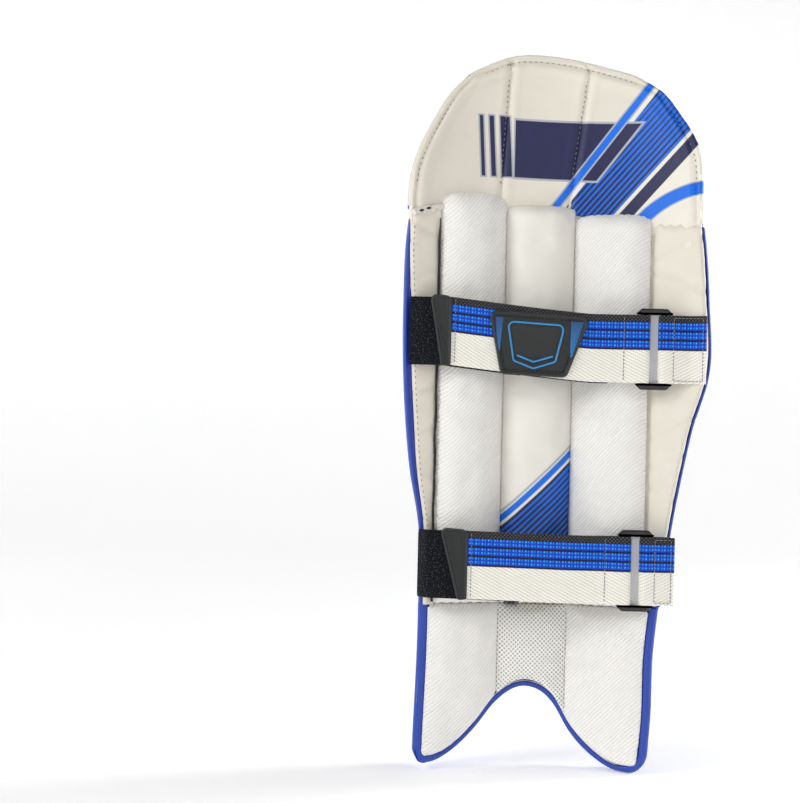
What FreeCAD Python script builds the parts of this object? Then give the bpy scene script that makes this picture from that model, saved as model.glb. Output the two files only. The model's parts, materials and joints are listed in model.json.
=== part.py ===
import FreeCAD, Part
import math
import os

# Wicket-keeper's leg guard for the right leg, in millimetres.
# X runs across the shin, +X to the outer side of the leg, where the side wing and the strap rings are.
# Y runs through the pad, +Y out of the blue front face; the leg and the straps are on the -Y side.
# Z runs up the shin. The origin is on the middle line of the pad, level with the lower foot lobe.

V = FreeCAD.Vector

# Whole pad
PAD_TOP = 686.0
WING_SEAM_U = 107.0            # where the side wing is sewn on, measured along the shell
WING_BOTTOM = 160.0
CENTRE_SEAM_Z = 173.0          # cross seam of the front centre panel
BOLSTER_BOTTOM = 158.0
BOLSTER_TOP = 549.0

# The shell is curved round the leg: flat at the middle, falling back towards both sides.
SIDE_FALL = 38.0               # how far the shell falls back at the reference half width
HALF_WIDTH = 125.0
FALL_POWER = 2.3
STRAIGHT_FROM = 110.0          # beyond this the side runs on straight

# Layers, as depths from the inner face of the foam; positive is towards the front
FOAM_FRONT = 12.0
BOARD_FRONT = 13.5
ROLL_FRONT = 22.0
ROLL_BULGE = 5.0
PANEL_FRONT = 20.0
LINING_BACK = -1.5
FACING_BACK = -7.0
FLAP_LINING_BACK = -5.0
BOLSTER_BACK = -20.0
BOLSTER_BULGE = -4.0
LOWER_BACK = -12.0
LOWER_BULGE = -3.0
COVER = 1.2                    # thickness of the cloth round a filled channel
LAYER_GAP = 0.06               # air between two curved layers that lie on each other
RIM = 4.0                      # width of the sewn binding along the lower edge

# Front seams, as distances along the shell
CENTRE_U = 36.5
INNER_MEDIAL_U = -67.0
OUTER_MEDIAL_U = -90.5
INNER_LATERAL_U = 70.0
OUTER_LATERAL_U = 97.0
SIDE_REACH_U = 150.0           # far enough out for every side; the outlines trim it

# Bolster and lower channels
CHANNEL_SEAM = 34.0
BOLSTER_MEDIAL_U = -100.0
LOWER_SIDE_U = 106.0

# Straps
STRAP_Y = -54.0
WEB_WIDTH = 63.5
WEB_THICK = 2.2
BACKING_THICK = 1.2
BAR_RADIUS = 3.0
RING_WIDTH = 34.0
RING_HEIGHT = 76.0
RING_THICK = 6.0
BAR_SPACING = 18.0
LOOP_INSIDE = 3.5
LOOP_OUTSIDE = 5.3
STITCH_REACH = 28.0            # from a ring bar to the stitching that closes the folded strap
ANCHOR_REACH = 25.0            # the same, on the short anchor tab
UPPER_RING = (104.0, 403.0)
LOWER_RING = (91.0, 196.0)
BEND_GAP = 1.5
TAPE_GAP = 1.8
TAPE_Y = -47.5
TAPE_THICK = 1.8
TAPE_HEIGHT = 66.0
TAPE_TIP_X = -20.0


def base_y(u):
    reach = abs(u)
    near = min(reach, STRAIGHT_FROM)
    fall = SIDE_FALL * (near / HALF_WIDTH) ** FALL_POWER
    return -fall - (reach - near) * abs(base_slope(STRAIGHT_FROM))


def base_slope(u):
    near = min(abs(u), STRAIGHT_FROM)
    steepness = SIDE_FALL * FALL_POWER / HALF_WIDTH * (near / HALF_WIDTH) ** (FALL_POWER - 1)
    return -math.copysign(steepness, u)


def shell_point(u, depth, z=0.0):
    slope = base_slope(u)
    length = math.hypot(1.0, slope)
    return V(u - depth * slope / length, base_y(u) + depth / length, z)


def smooth(points):
    curve = Part.BSplineCurve()
    curve.interpolate(points)
    return curve.toShape()


def face_line(u_from, u_to, depth, bulge):
    """One long side of a channel's cross-section, crowned by the bulge."""
    steps = max(4, math.ceil(abs(u_to - u_from) / 10.0))
    points = []
    for step in range(steps + 1):
        share = step / steps
        u = u_from + (u_to - u_from) * share
        points.append(shell_point(u, depth + bulge * math.sin(math.pi * share)))
    return points


def layer(u_from, u_to, inner, outer, bulge=0.0, z_from=-5.0, z_to=PAD_TOP + 5.0):
    """An upright slab that follows the shell between two depths."""
    near = face_line(u_from, u_to, inner, 0.0)
    far = face_line(u_from, u_to, outer, bulge)
    edges = [
        smooth(near),
        Part.makeLine(near[-1], far[-1]),
        smooth(far),
        Part.makeLine(far[0], near[0]),
    ]
    section = Part.Face(Part.Wire(Part.__sortEdges__(edges)))
    section.translate(V(0, 0, z_from))
    return section.extrude(V(0, 0, z_to - z_from))


def upright(x, z):
    return V(x, -140.0, z)


def outline_face(runs):
    """A closed outline in the XZ plane; a run of two points is straight, a longer one is smooth."""
    edges = []
    for run in runs:
        points = [upright(x, z) for x, z in run]
        if len(points) == 2:
            edges.append(Part.makeLine(points[0], points[1]))
        else:
            edges.append(smooth(points))
    return Part.Face(Part.Wire(edges))


def through(face):
    return face.extrude(V(0, 240.0, 0))


def polygon(points):
    """An upright prism through the whole pad, from corner points (x, z)."""
    corners = [upright(x, z) for x, z in points]
    return through(Part.Face(Part.makePolygon(corners + corners[:1])))


def arch(crown, drop, x_from, x_to):
    """A run of points along the knee arch."""
    steps = 6
    points = []
    for step in range(steps + 1):
        x = x_from + (x_to - x_from) * step / steps
        points.append((x, crown - drop * (x / HALF_WIDTH) ** 2))
    return points


def shin_outline_face():
    top = arch(557.0, 29.0, -127.0, 130.0)
    side_top = (130.0, WING_BOTTOM)
    side_step = (118.0, WING_BOTTOM)
    lateral = [side_step, (114.0, 115.0), (113.0, 49.0), (110.0, 15.0)]
    lateral_foot = [(110.0, 15.0), (104.0, 3.5), (89.0, 0.0)]
    instep = [(89.0, 0.0), (60.0, 13.0), (38.0, 36.0), (23.0, 61.0), (-4.0, 77.0), (-34.0, 61.0),
              (-52.0, 38.0), (-75.0, 16.0), (-98.0, 6.0)]
    medial_foot = [(-98.0, 6.0), (-108.0, 8.0), (-113.0, 18.0)]
    medial = [(-113.0, 18.0), (-110.0, 150.0), (-112.0, 234.0), (-121.0, 283.0), (-128.0, 350.0),
              (-131.0, 436.0), top[0]]
    return outline_face([top, [top[-1], side_top], [side_top, side_step], lateral, lateral_foot,
                         instep, medial_foot, medial])


def flap_outline_face():
    bottom = arch(566.0, 17.0, 148.0, -128.0)
    medial = [bottom[-1], (-119.0, 592.0), (-106.0, 619.0), (-85.0, 652.0), (-60.0, 673.0),
              (-30.0, 685.0)]
    top = [(-30.0, 685.0), (8.0, 686.0), (42.0, 680.0), (63.0, 674.0), (94.0, 662.0)]
    lateral = [(94.0, 662.0), (108.0, 652.0), (126.0, 628.0), (143.0, 597.0), bottom[0]]
    return outline_face([bottom, medial, top, lateral])


def wing_outline_face():
    top = arch(557.0, 29.0, 100.0, 151.0)
    side = [top[-1], (156.0, 450.0), (157.0, 379.0), (144.0, 328.0), (138.0, 296.0), (129.0, 240.0),
            (120.0, WING_BOTTOM)]
    foot = (80.0, WING_BOTTOM)
    shoulder = (80.0, top[0][1])
    return outline_face([top, side, [side[-1], foot], [foot, shoulder], [shoulder, top[0]]])


def gap(point, run):
    return min(point.distanceToPoint(run[0]), point.distanceToPoint(run[-1]))


def inset(face, distance):
    """The same outline moved inwards, redrawn with plain curves that meet exactly."""
    outline = face.makeOffset2D(-distance).OuterWire
    runs = [edge.discretize(Number=9) for edge in outline.OrderedEdges]
    start = min((runs[0][0], runs[0][-1]), key=lambda end: gap(end, runs[-1]))
    here = start
    edges = []
    for run in runs:
        if here.distanceToPoint(run[-1]) < here.distanceToPoint(run[0]):
            run.reverse()
        run[0] = here
        if len(edges) == len(runs) - 1:
            run[-1] = start
        here = run[-1]
        edges.append(smooth(run))
    return Part.Face(Part.Wire(edges))


SHIN_OUTLINE = through(shin_outline_face())
SHIN_INSIDE = through(inset(shin_outline_face(), RIM))
FLAP_OUTLINE = through(flap_outline_face())
FLAP_INSIDE = through(inset(flap_outline_face(), RIM))
WING_OUTLINE = through(wing_outline_face())
WING_INSIDE = through(inset(wing_outline_face(), RIM))


def only_solid(shape):
    """The largest solid of a shape, so that a trimmed piece stays one closed solid."""
    return max(shape.Solids, key=lambda solid: solid.Volume)


def front_channels():
    """Stuffed channels of the shin front, from the medial edge to the wing seam."""
    seams = {
        "front_edge_roll": (-SIDE_REACH_U, OUTER_MEDIAL_U),
        "front_outer_roll_medial": (OUTER_MEDIAL_U, INNER_MEDIAL_U),
        "front_inner_roll_medial": (INNER_MEDIAL_U, -CENTRE_U),
        "front_inner_roll_lateral": (CENTRE_U, INNER_LATERAL_U),
        "front_outer_roll_lateral": (INNER_LATERAL_U, OUTER_LATERAL_U),
        "front_ridge_lateral": (OUTER_LATERAL_U, WING_SEAM_U - 0.5),
    }
    inner = FOAM_FRONT + LAYER_GAP
    pieces = {}
    for name, (u_from, u_to) in seams.items():
        bulge = 0.0 if name == "front_edge_roll" else ROLL_BULGE * min(1.0, (u_to - u_from) / 30.0)
        pieces[name] = layer(u_from, u_to, inner, ROLL_FRONT, bulge).common(SHIN_OUTLINE)
    centre_upper = layer(-CENTRE_U, CENTRE_U, inner, ROLL_FRONT, ROLL_BULGE, CENTRE_SEAM_Z)
    centre_lower = layer(-CENTRE_U, CENTRE_U, inner, ROLL_FRONT, ROLL_BULGE, -5.0, CENTRE_SEAM_Z)
    pieces["front_center_upper"] = centre_upper.common(SHIN_OUTLINE)
    pieces["front_center_lower"] = centre_lower.common(SHIN_OUTLINE)
    return pieces


def cane_rods():
    """Split-cane stiffeners, one in each roll and three behind the centre panel."""
    radius = 2.2
    rods = []
    for u, z_from, z_to in ((-79.0, 40.0, 520.0), (-52.0, 60.0, 530.0), (-22.0, 185.0, 540.0),
                            (0.0, 185.0, 540.0), (22.0, 185.0, 540.0), (53.0, 60.0, 530.0),
                            (83.0, 40.0, 515.0)):
        foot = shell_point(u, 16.5, z_from)
        rods.append(Part.makeCylinder(radius, z_to - z_from, foot, V(0, 0, 1)))
    return rods


def shin_inside():
    """Foam core, lining and the padded strip along the medial edge."""
    core = layer(-SIDE_REACH_U, WING_SEAM_U - 0.5, 0.0, FOAM_FRONT).common(SHIN_INSIDE)
    lining = layer(-SIDE_REACH_U, WING_SEAM_U - 0.5, LINING_BACK, 0.0).common(SHIN_INSIDE)
    facing = layer(-SIDE_REACH_U, BOLSTER_MEDIAL_U - 0.5, FACING_BACK, LINING_BACK - LAYER_GAP,
                   z_from=BOLSTER_BOTTOM, z_to=522.0).common(SHIN_INSIDE)
    return {"shin_foam_core": core, "shin_lining": lining, "medial_facing": facing}


def edge_binding():
    """Bound edge round the instep arch and the feet, up to the bolster's hem."""
    band = layer(-SIDE_REACH_U, SIDE_REACH_U, LINING_BACK - 1.0, FOAM_FRONT, 0.0, -5.0, WING_BOTTOM - 1.0)
    return {"edge_binding": band.common(SHIN_OUTLINE).cut(SHIN_INSIDE)}


def round_topped(x_from, x_to, z_from, z_to, radius):
    """An upright prism with rounded upper corners."""
    side = radius * (1.0 - math.sqrt(0.5))
    corner_a = Part.Arc(upright(x_from, z_to - radius), upright(x_from + side, z_to - side),
                        upright(x_from + radius, z_to)).toShape()
    corner_b = Part.Arc(upright(x_to - radius, z_to), upright(x_to - side, z_to - side),
                        upright(x_to, z_to - radius)).toShape()
    edges = [
        Part.makeLine(upright(x_from, z_from), upright(x_from, z_to - radius)),
        corner_a,
        Part.makeLine(upright(x_from + radius, z_to), upright(x_to - radius, z_to)),
        corner_b,
        Part.makeLine(upright(x_to, z_to - radius), upright(x_to, z_from)),
        Part.makeLine(upright(x_to, z_from), upright(x_from, z_from)),
    ]
    return through(Part.Face(Part.Wire(edges)))


def filled_channel(u_from, u_to, back, bulge, trim, inner_trim):
    """A sewn channel as a cloth cover and the foam inside it."""
    near = LINING_BACK - LAYER_GAP
    outer = layer(u_from, u_to, near, back, bulge).common(trim)
    foam = layer(u_from + COVER, u_to - COVER, near - COVER, back + COVER, bulge)
    foam = foam.common(inner_trim)
    return outer.cut(foam), foam


def bolster():
    """Three padded channels that stand proud against the shin, with piping along the medial edge."""
    spans = {
        "bolster_cover_medial": (BOLSTER_MEDIAL_U, -CHANNEL_SEAM, BOLSTER_TOP),
        "bolster_cover_middle": (-CHANNEL_SEAM, CHANNEL_SEAM, BOLSTER_TOP - 10.0),
        "bolster_cover_lateral": (CHANNEL_SEAM, WING_SEAM_U - 0.5, BOLSTER_TOP - 17.0),
    }
    pieces = {}
    fillings = []
    for name, (u_from, u_to, top) in spans.items():
        radius = 8.0 if name == "bolster_cover_middle" else 20.0
        trim = round_topped(u_from, u_to, BOLSTER_BOTTOM, top, radius)
        inner_trim = round_topped(u_from + COVER, u_to - COVER, BOLSTER_BOTTOM + COVER, top - COVER, radius)
        pieces[name], filling = filled_channel(u_from, u_to, BOLSTER_BACK, BOLSTER_BULGE, trim, inner_trim)
        fillings.append(filling)
    pieces["bolster_filling"] = Part.makeCompound(fillings)
    foot = shell_point(BOLSTER_MEDIAL_U - 2.2, FACING_BACK - 1.6, BOLSTER_BOTTOM + 6.0)
    pieces["bolster_piping"] = Part.makeCylinder(1.5, 370.0, foot, V(0, 0, 1))
    return pieces


def lower_pads():
    """Three mesh channels behind the instep and the feet."""
    spans = {
        "lower_mesh_medial": (-LOWER_SIDE_U - 8.0, -CHANNEL_SEAM),
        "lower_mesh_middle": (-CHANNEL_SEAM, CHANNEL_SEAM),
        "lower_mesh_lateral": (CHANNEL_SEAM, LOWER_SIDE_U),
    }
    inner_face = inset(shin_outline_face(), RIM + COVER)
    pieces = {}
    fillings = []
    for name, (u_from, u_to) in spans.items():
        level = polygon([(-140.0, -5.0), (140.0, -5.0), (140.0, BOLSTER_BOTTOM - 0.5),
                         (-140.0, BOLSTER_BOTTOM - 0.5)])
        inner_level = polygon([(-140.0, -5.0), (140.0, -5.0), (140.0, BOLSTER_BOTTOM - 0.5 - COVER),
                               (-140.0, BOLSTER_BOTTOM - 0.5 - COVER)])
        trim = SHIN_INSIDE.common(level)
        inner_trim = through(inner_face).common(inner_level)
        pieces[name], filling = filled_channel(u_from, u_to, LOWER_BACK, LOWER_BULGE, trim, inner_trim)
        fillings.append(filling)
    pieces["lower_filling"] = Part.makeCompound(fillings)
    return pieces


def knee_flap():
    """The flap above the knee: foam, stiffener board, seven front panels, three lining panels, hem."""
    across = (-SIDE_REACH_U, SIDE_REACH_U)
    front = layer(*across, BOARD_FRONT, PANEL_FRONT).common(FLAP_OUTLINE)
    lining = layer(*across, FLAP_LINING_BACK, 0.0).common(FLAP_INSIDE)
    pieces = {
        "flap_foam_core": layer(*across, 0.0, FOAM_FRONT).common(FLAP_INSIDE),
        "flap_stiffener_board": layer(*across, FOAM_FRONT, BOARD_FRONT).common(FLAP_INSIDE),
        "flap_hem": layer(*across, FLAP_LINING_BACK, FOAM_FRONT).common(FLAP_OUTLINE).cut(FLAP_INSIDE),
    }
    # Each seam is (x at the top of the flap, x at the bottom), from the medial edge outwards
    low, high = 500.0, 700.0
    seams = [(-200.0, -200.0), (-44.0, -117.0), (-44.0, -58.0), (-30.0, -46.0), (45.0, 38.0),
             (59.0, 51.0), (59.0, 122.0), (200.0, 200.0)]
    names = ["flap_edge_medial", "flap_side_medial", "flap_ridge_medial", "flap_center",
             "flap_ridge_lateral", "flap_side_lateral", "flap_edge_lateral"]
    for name, (a_top, a_low), (b_top, b_low) in zip(names, seams, seams[1:]):
        panel = polygon([(a_low, low), (b_low, low), (b_top, high), (a_top, high)])
        pieces[name] = only_solid(front.common(panel))
    lining_seams = [(-200.0, -200.0), (-30.0, -42.0), (48.0, 22.0), (200.0, 200.0)]
    lining_names = ["flap_lining_medial", "flap_lining_middle", "flap_lining_lateral"]
    for name, (a_top, a_low), (b_top, b_low) in zip(lining_names, lining_seams, lining_seams[1:]):
        panel = polygon([(a_low, low), (b_low, low), (b_top, high), (a_top, high)])
        pieces[name] = only_solid(lining.common(panel))
    return pieces


def side_wing():
    """The wing that wraps the outer side of the calf: foam, four front panels and the inner facing."""
    seam = WING_SEAM_U + 0.3
    front = layer(seam, SIDE_REACH_U, FOAM_FRONT, ROLL_FRONT, 2.0).common(WING_OUTLINE)
    pieces = {
        "wing_foam_core": layer(seam, SIDE_REACH_U + 10.0, 0.0, FOAM_FRONT).common(WING_INSIDE),
        "wing_facing": layer(seam, SIDE_REACH_U + 10.0, FACING_BACK, 0.0).common(WING_INSIDE),
    }
    # Slanted cross seams, each (height at the wing seam, height at the outer edge)
    seams = [(600.0, 600.0), (449.0, 400.0), (315.0, 352.0), (252.0, 282.0), (100.0, 100.0)]
    names = ["wing_front_upper", "wing_front_middle", "wing_front_lower", "wing_front_foot"]
    for name, (a_in, a_out), (b_in, b_out) in zip(names, seams, seams[1:]):
        panel = polygon([(108.0, a_in), (160.0, a_out), (160.0, b_out), (108.0, b_in)])
        pieces[name] = only_solid(front.common(panel))
    return pieces


def ring(center_x, center_z):
    """A moulded loop: two round bars for the webbing, joined by bevelled ends."""
    half_w = RING_WIDTH / 2
    half_h = RING_HEIGHT / 2
    window = WEB_WIDTH / 2 + 0.9
    bevel = 5.0
    corners = [(-half_w + bevel, -half_h), (half_w - bevel, -half_h), (half_w, -half_h + bevel),
               (half_w, half_h - bevel), (half_w - bevel, half_h), (-half_w + bevel, half_h),
               (-half_w, half_h - bevel), (-half_w, -half_h + bevel)]
    points = [V(center_x + x, STRAP_Y - RING_THICK / 2, center_z + z) for x, z in corners]
    body = Part.Face(Part.makePolygon(points + points[:1])).extrude(V(0, RING_THICK, 0))
    hole = Part.makeBox(60, 40, 2 * window, V(center_x - 30, STRAP_Y - 20, center_z - window))
    body = body.cut(hole)
    for side in (-1, 1):
        foot = V(center_x + side * BAR_SPACING / 2, STRAP_Y, center_z - window - 2.0)
        body = body.fuse(Part.makeCylinder(BAR_RADIUS, 2 * window + 4.0, foot, V(0, 0, 1)))
    return body.removeSplitter()


def teardrop(radius, reach, tip_half, height):
    """A round that narrows to a flat tip along -X, about the Z axis."""
    lean = math.asin(min(1.0, (radius - tip_half) / reach))
    touch_x = -radius * math.sin(lean)
    touch_y = radius * math.cos(lean)
    points = [V(touch_x, touch_y, 0), V(-reach, tip_half, 0), V(-reach, -tip_half, 0), V(touch_x, -touch_y, 0)]
    tail = Part.Face(Part.makePolygon(points + points[:1])).extrude(V(0, 0, height))
    return Part.makeCylinder(radius, height).fuse(tail)


def folded_web(bar_x, center_z, reach, turn):
    """Webbing folded round a ring bar and stitched to itself; turn is the direction of its tail."""
    outer = teardrop(LOOP_OUTSIDE, reach, WEB_THICK / 2 + 0.5, WEB_WIDTH)
    cavity = teardrop(LOOP_INSIDE, reach - 7.0, 0.4, WEB_WIDTH)
    loop = outer.cut(cavity).removeSplitter()
    loop.rotate(V(0, 0, 0), V(0, 0, 1), turn)
    loop.translate(V(bar_x, STRAP_Y, center_z - WEB_WIDTH / 2))
    return loop


def anchor_tab(center_x, center_z, end_x):
    """The short web that holds a ring's outer bar, with its tail sewn down on the wing facing."""
    bar_x = center_x + BAR_SPACING / 2
    dip = math.radians(-4.8)
    low = center_z - WEB_WIDTH / 2
    loop = folded_web(bar_x, center_z, ANCHOR_REACH, 180.0 + math.degrees(dip))
    start = V(bar_x + ANCHOR_REACH * math.cos(dip), STRAP_Y + ANCHOR_REACH * math.sin(dip), low)
    far = V(end_x, start.y + (end_x - start.x) * base_slope(HALF_WIDTH), low)
    half = V(0, WEB_THICK / 2, 0)
    corners = [start - half, far - half, far + half, start + half]
    tail = Part.Face(Part.makePolygon(corners + corners[:1])).extrude(V(0, 0, WEB_WIDTH))
    return loop.fuse(tail).removeSplitter()


def flat_strip(points, y_from, y_to):
    """A flat piece in the strap's plane, from corner points (x, z)."""
    corners = [V(x, y_from, z) for x, z in points]
    return Part.Face(Part.makePolygon(corners + corners[:1])).extrude(V(0, y_to - y_from, 0))


def strap(level, ring_center, end_x, end_rise):
    """Ring, folded web, free web with its hook backing, and the pull tab at the end."""
    center_x, center_z = ring_center
    bar_x = center_x - BAR_SPACING / 2
    bend_x = bar_x - STITCH_REACH - BEND_GAP
    half = WEB_WIDTH / 2
    web_back = STRAP_Y - WEB_THICK / 2
    web_front = STRAP_Y + WEB_THICK / 2
    rise_x = bend_x - 20.0
    web = [(bend_x, center_z - half), (bend_x, center_z + half), (rise_x, center_z + half),
           (end_x, center_z + half + end_rise), (end_x, center_z - half + end_rise),
           (rise_x, center_z - half)]
    backing = [(bend_x - 4.0, center_z - half - 3.0), (bend_x - 4.0, center_z + half - 3.0),
               (rise_x, center_z + half - 3.0), (end_x + 4.0, center_z + half - 3.0 + end_rise),
               (end_x + 4.0, center_z - half - 3.0 + end_rise), (rise_x, center_z - half - 3.0)]
    tab_z = center_z + end_rise
    tab = [(end_x - 0.2, tab_z - half), (end_x - 0.2, tab_z + half), (end_x - 17.0, tab_z + half + 2.0),
           (end_x - 9.0, tab_z - half - 1.0)]
    return {
        level + "_ring": ring(center_x, center_z),
        level + "_strap_fold": folded_web(bar_x, center_z, STITCH_REACH, 0.0),
        level + "_strap_webbing": flat_strip(web, web_back, web_front),
        level + "_strap_backing": flat_strip(backing, web_front, web_front + BACKING_THICK),
        level + "_pull_tab": flat_strip(tab, STRAP_Y - 1.5, STRAP_Y + 1.5),
    }


def loop_tape(level, edge_x, hinge_x, center_z):
    """Loop tape: one end sewn on the medial facing, the free length lying under the strap."""
    low = center_z - TAPE_HEIGHT / 2
    far_y = TAPE_Y + TAPE_THICK / 2
    edge_y = shell_point(edge_x - 3.5, FACING_BACK).y - 0.1
    sewn = [V(hinge_x - TAPE_GAP, far_y - TAPE_THICK, low), V(hinge_x - TAPE_GAP, far_y, low),
            V(edge_x, edge_y, low), V(edge_x, edge_y - TAPE_THICK, low)]
    free = [(hinge_x, low), (hinge_x, low + TAPE_HEIGHT), (TAPE_TIP_X, low + TAPE_HEIGHT), (TAPE_TIP_X, low)]
    return {
        level + "_tape_root": Part.Face(Part.makePolygon(sewn + sewn[:1])).extrude(V(0, 0, TAPE_HEIGHT)),
        level + "_loop_tape": flat_strip(free, far_y - TAPE_THICK, far_y),
    }


def badge():
    """The moulded shield on the upper strap."""
    corners = [(-50.0, 434.0), (42.0, 430.0), (22.0, 376.0), (-38.0, 378.0)]
    back = STRAP_Y - WEB_THICK / 2
    return {"strap_badge": flat_strip(corners, back - 2.4, back)}


def write(name, shape):
    shape.exportStep("parts/%s.step" % name)


def main():
    os.makedirs("parts", exist_ok=True)
    pieces = {}
    rods = cane_rods()
    for name, channel in front_channels().items():
        for rod in rods:
            channel = channel.cut(rod)
        pieces[name] = only_solid(channel)
    pieces["cane_rods"] = Part.makeCompound(rods)
    for group in (shin_inside(), edge_binding(), bolster(), lower_pads(), knee_flap(), side_wing(),
                  strap("upper", UPPER_RING, -87.0, 13.0), strap("lower", LOWER_RING, -67.0, 2.0),
                  loop_tape("upper", -124.0, -112.0, 414.0), loop_tape("lower", -111.0, -100.0, 196.0),
                  badge()):
        pieces.update(group)
    pieces["upper_anchor_tab"] = anchor_tab(*UPPER_RING, 151.0)
    pieces["lower_anchor_tab"] = anchor_tab(*LOWER_RING, 127.0)
    for name, shape in pieces.items():
        write(name, shape)


main()
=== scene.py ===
import json
import math
import bmesh
import bpy
import numpy as np
from mathutils import Matrix, Vector
from mathutils.kdtree import KDTree

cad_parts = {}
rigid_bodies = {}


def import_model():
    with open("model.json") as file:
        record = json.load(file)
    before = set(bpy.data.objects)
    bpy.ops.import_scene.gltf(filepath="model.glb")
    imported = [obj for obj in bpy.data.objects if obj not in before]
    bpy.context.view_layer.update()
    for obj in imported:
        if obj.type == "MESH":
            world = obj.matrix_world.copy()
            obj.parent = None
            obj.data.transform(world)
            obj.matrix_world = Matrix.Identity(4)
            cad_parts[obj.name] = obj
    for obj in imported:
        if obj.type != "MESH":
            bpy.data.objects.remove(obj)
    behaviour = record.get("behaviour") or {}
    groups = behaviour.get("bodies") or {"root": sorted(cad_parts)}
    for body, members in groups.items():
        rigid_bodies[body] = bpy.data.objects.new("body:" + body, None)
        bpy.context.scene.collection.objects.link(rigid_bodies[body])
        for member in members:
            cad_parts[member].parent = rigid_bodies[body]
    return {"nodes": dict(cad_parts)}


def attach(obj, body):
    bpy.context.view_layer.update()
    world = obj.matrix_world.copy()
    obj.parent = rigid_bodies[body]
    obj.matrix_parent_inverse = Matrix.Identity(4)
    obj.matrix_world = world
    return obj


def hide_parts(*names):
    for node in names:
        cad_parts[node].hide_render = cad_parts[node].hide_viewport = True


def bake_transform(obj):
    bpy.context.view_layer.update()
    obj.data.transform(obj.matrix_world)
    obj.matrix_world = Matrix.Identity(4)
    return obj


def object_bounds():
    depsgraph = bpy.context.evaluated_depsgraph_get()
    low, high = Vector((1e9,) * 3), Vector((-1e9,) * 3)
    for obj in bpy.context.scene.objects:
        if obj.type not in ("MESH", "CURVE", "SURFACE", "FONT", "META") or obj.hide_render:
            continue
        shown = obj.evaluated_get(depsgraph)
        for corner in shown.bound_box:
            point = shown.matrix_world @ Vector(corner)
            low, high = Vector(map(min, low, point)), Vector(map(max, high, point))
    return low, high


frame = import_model()
CAD_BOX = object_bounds()
MM = 0.001
CLOTH_UV = "cloth"
SHARP_ANGLE = math.radians(55.0)

# The curved shell that every padded layer follows, as in the CAD part (millimetres).
SIDE_FALL = 38.0
HALF_WIDTH = 125.0
FALL_POWER = 2.3
STRAIGHT_FROM = 110.0

# Depths out of the shell, positive towards the blue front
LINING = -1.5
FOAM_FRONT = 12.2
SEAM_DEPTH = 15.0
EDGE_MIDDLE = 7.0

# Seams of the shin front, as distances along the shell
FRONT_SEAMS = (-90.5, -67.0, -36.5, 36.5, 70.0, 97.0)
WING_SEAM = 107.0
CROSS_SEAM_Z = 173.0
CHANNEL_SEAM = 34.0
BOLSTER_MEDIAL = -100.0
BOLSTER_BOTTOM = 158.0

# Straps
STRAP_Y = -54.0
WEB_WIDTH = 63.5
BAR_SPACING = 18.0
RING_WIDTH = 34.0
RING_HEIGHT = 76.0
STITCH_REACH = 28.0
ANCHOR_REACH = 25.0
UPPER_RING = (104.0, 403.0)
LOWER_RING = (91.0, 196.0)

# Outlines seen square on, as points (x, z)
MEDIAL_EDGE = ((-113, 14), (-110, 150), (-112, 234), (-121, 283), (-128, 350), (-131, 436), (-127, 528),
               (-124, 545))
LATERAL_EDGE = ((110, 12), (113, 49), (114, 115), (118, 160), (126, 220))
WING_EDGE = ((119.5, 158), (129, 240), (138, 296), (144, 328), (157, 379), (156, 450), (151, 515), (149, 530))
FOOT_EDGE = ((-113, 19), (-108, 8), (-98, 6), (-75, 16), (-52, 38), (-34, 61), (-4, 77), (23, 61), (38, 36),
             (60, 13), (89, 0), (104, 3.5), (110, 12), (115, 26))
FLAP_MEDIAL = ((-129, 545), (-126, 570), (-119, 592), (-106, 619), (-85, 652), (-60, 673), (-50, 677.2))
FLAP_TOP = ((-60, 673), (-30, 685), (8, 686), (42, 680), (63, 674), (94, 662), (108, 652))
# How far the blue cover turns round the medial edge to the back, as points (z, width)
BLUE_TURN = ((140, 4.0), (220, 4.5), (280, 6.5), (330, 8.0), (380, 8.0), (425, 9.0), (460, 6.5), (500, 4.0),
             (540, 2.5))
FLAP_LATERAL = ((149, 540), (143, 597), (126, 628), (108, 652), (94, 662), (63, 674), (50, 678))


# Cloth simulation
SIM_FRAMES = 16
SIM_PRESSURE = 2.0
SIM_SLACK = -0.02
SIM_CAP = 3.0
SIM_SINK = 0.7
SIM_SMOOTH = 3
SEWN_ROWS = 2
OUTER_FACES = {}


# ---------------------------------------------------------------- shape helpers

def curve_through(points, axis):
    """A smooth function through outline points: axis 0 gives z for an x, axis 1 gives x for a z."""
    ordered = sorted((p[axis], p[1 - axis]) for p in points)
    keys = np.array([p[0] for p in ordered], float)
    values = np.array([p[1] for p in ordered], float)
    slopes = np.gradient(values, keys)

    def at(where):
        where = np.clip(np.asarray(where, float), keys[0], keys[-1])
        i = np.clip(np.searchsorted(keys, where) - 1, 0, len(keys) - 2)
        span = keys[i + 1] - keys[i]
        t = (where - keys[i]) / span
        low = (2 * t ** 3 - 3 * t ** 2 + 1) * values[i] + (t ** 3 - 2 * t ** 2 + t) * span * slopes[i]
        high = (3 * t ** 2 - 2 * t ** 3) * values[i + 1] + (t ** 3 - t ** 2) * span * slopes[i + 1]
        return low + high
    return at


def between(low, high, z_low, z_high):
    """x along a straight seam that runs from (low, z_low) to (high, z_high)."""
    return lambda z: low + (high - low) * (np.asarray(z, float) - z_low) / (z_high - z_low)


medial_x = curve_through(MEDIAL_EDGE, 1)
lateral_x = curve_through(LATERAL_EDGE, 1)
wing_x = curve_through(WING_EDGE, 1)
foot_z = curve_through(FOOT_EDGE, 0)
flap_medial_x = curve_through(FLAP_MEDIAL, 1)
flap_top_z = curve_through(FLAP_TOP, 0)
flap_lateral_x = curve_through(FLAP_LATERAL, 1)
blue_turn = curve_through(BLUE_TURN, 0)


def knee_seam(x):
    """The arched seam below the knee flap."""
    return 563.0 - 31.0 * (np.asarray(x, float) / HALF_WIDTH) ** 2


def shin_arch(x):
    return knee_seam(x) - 1.2


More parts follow.
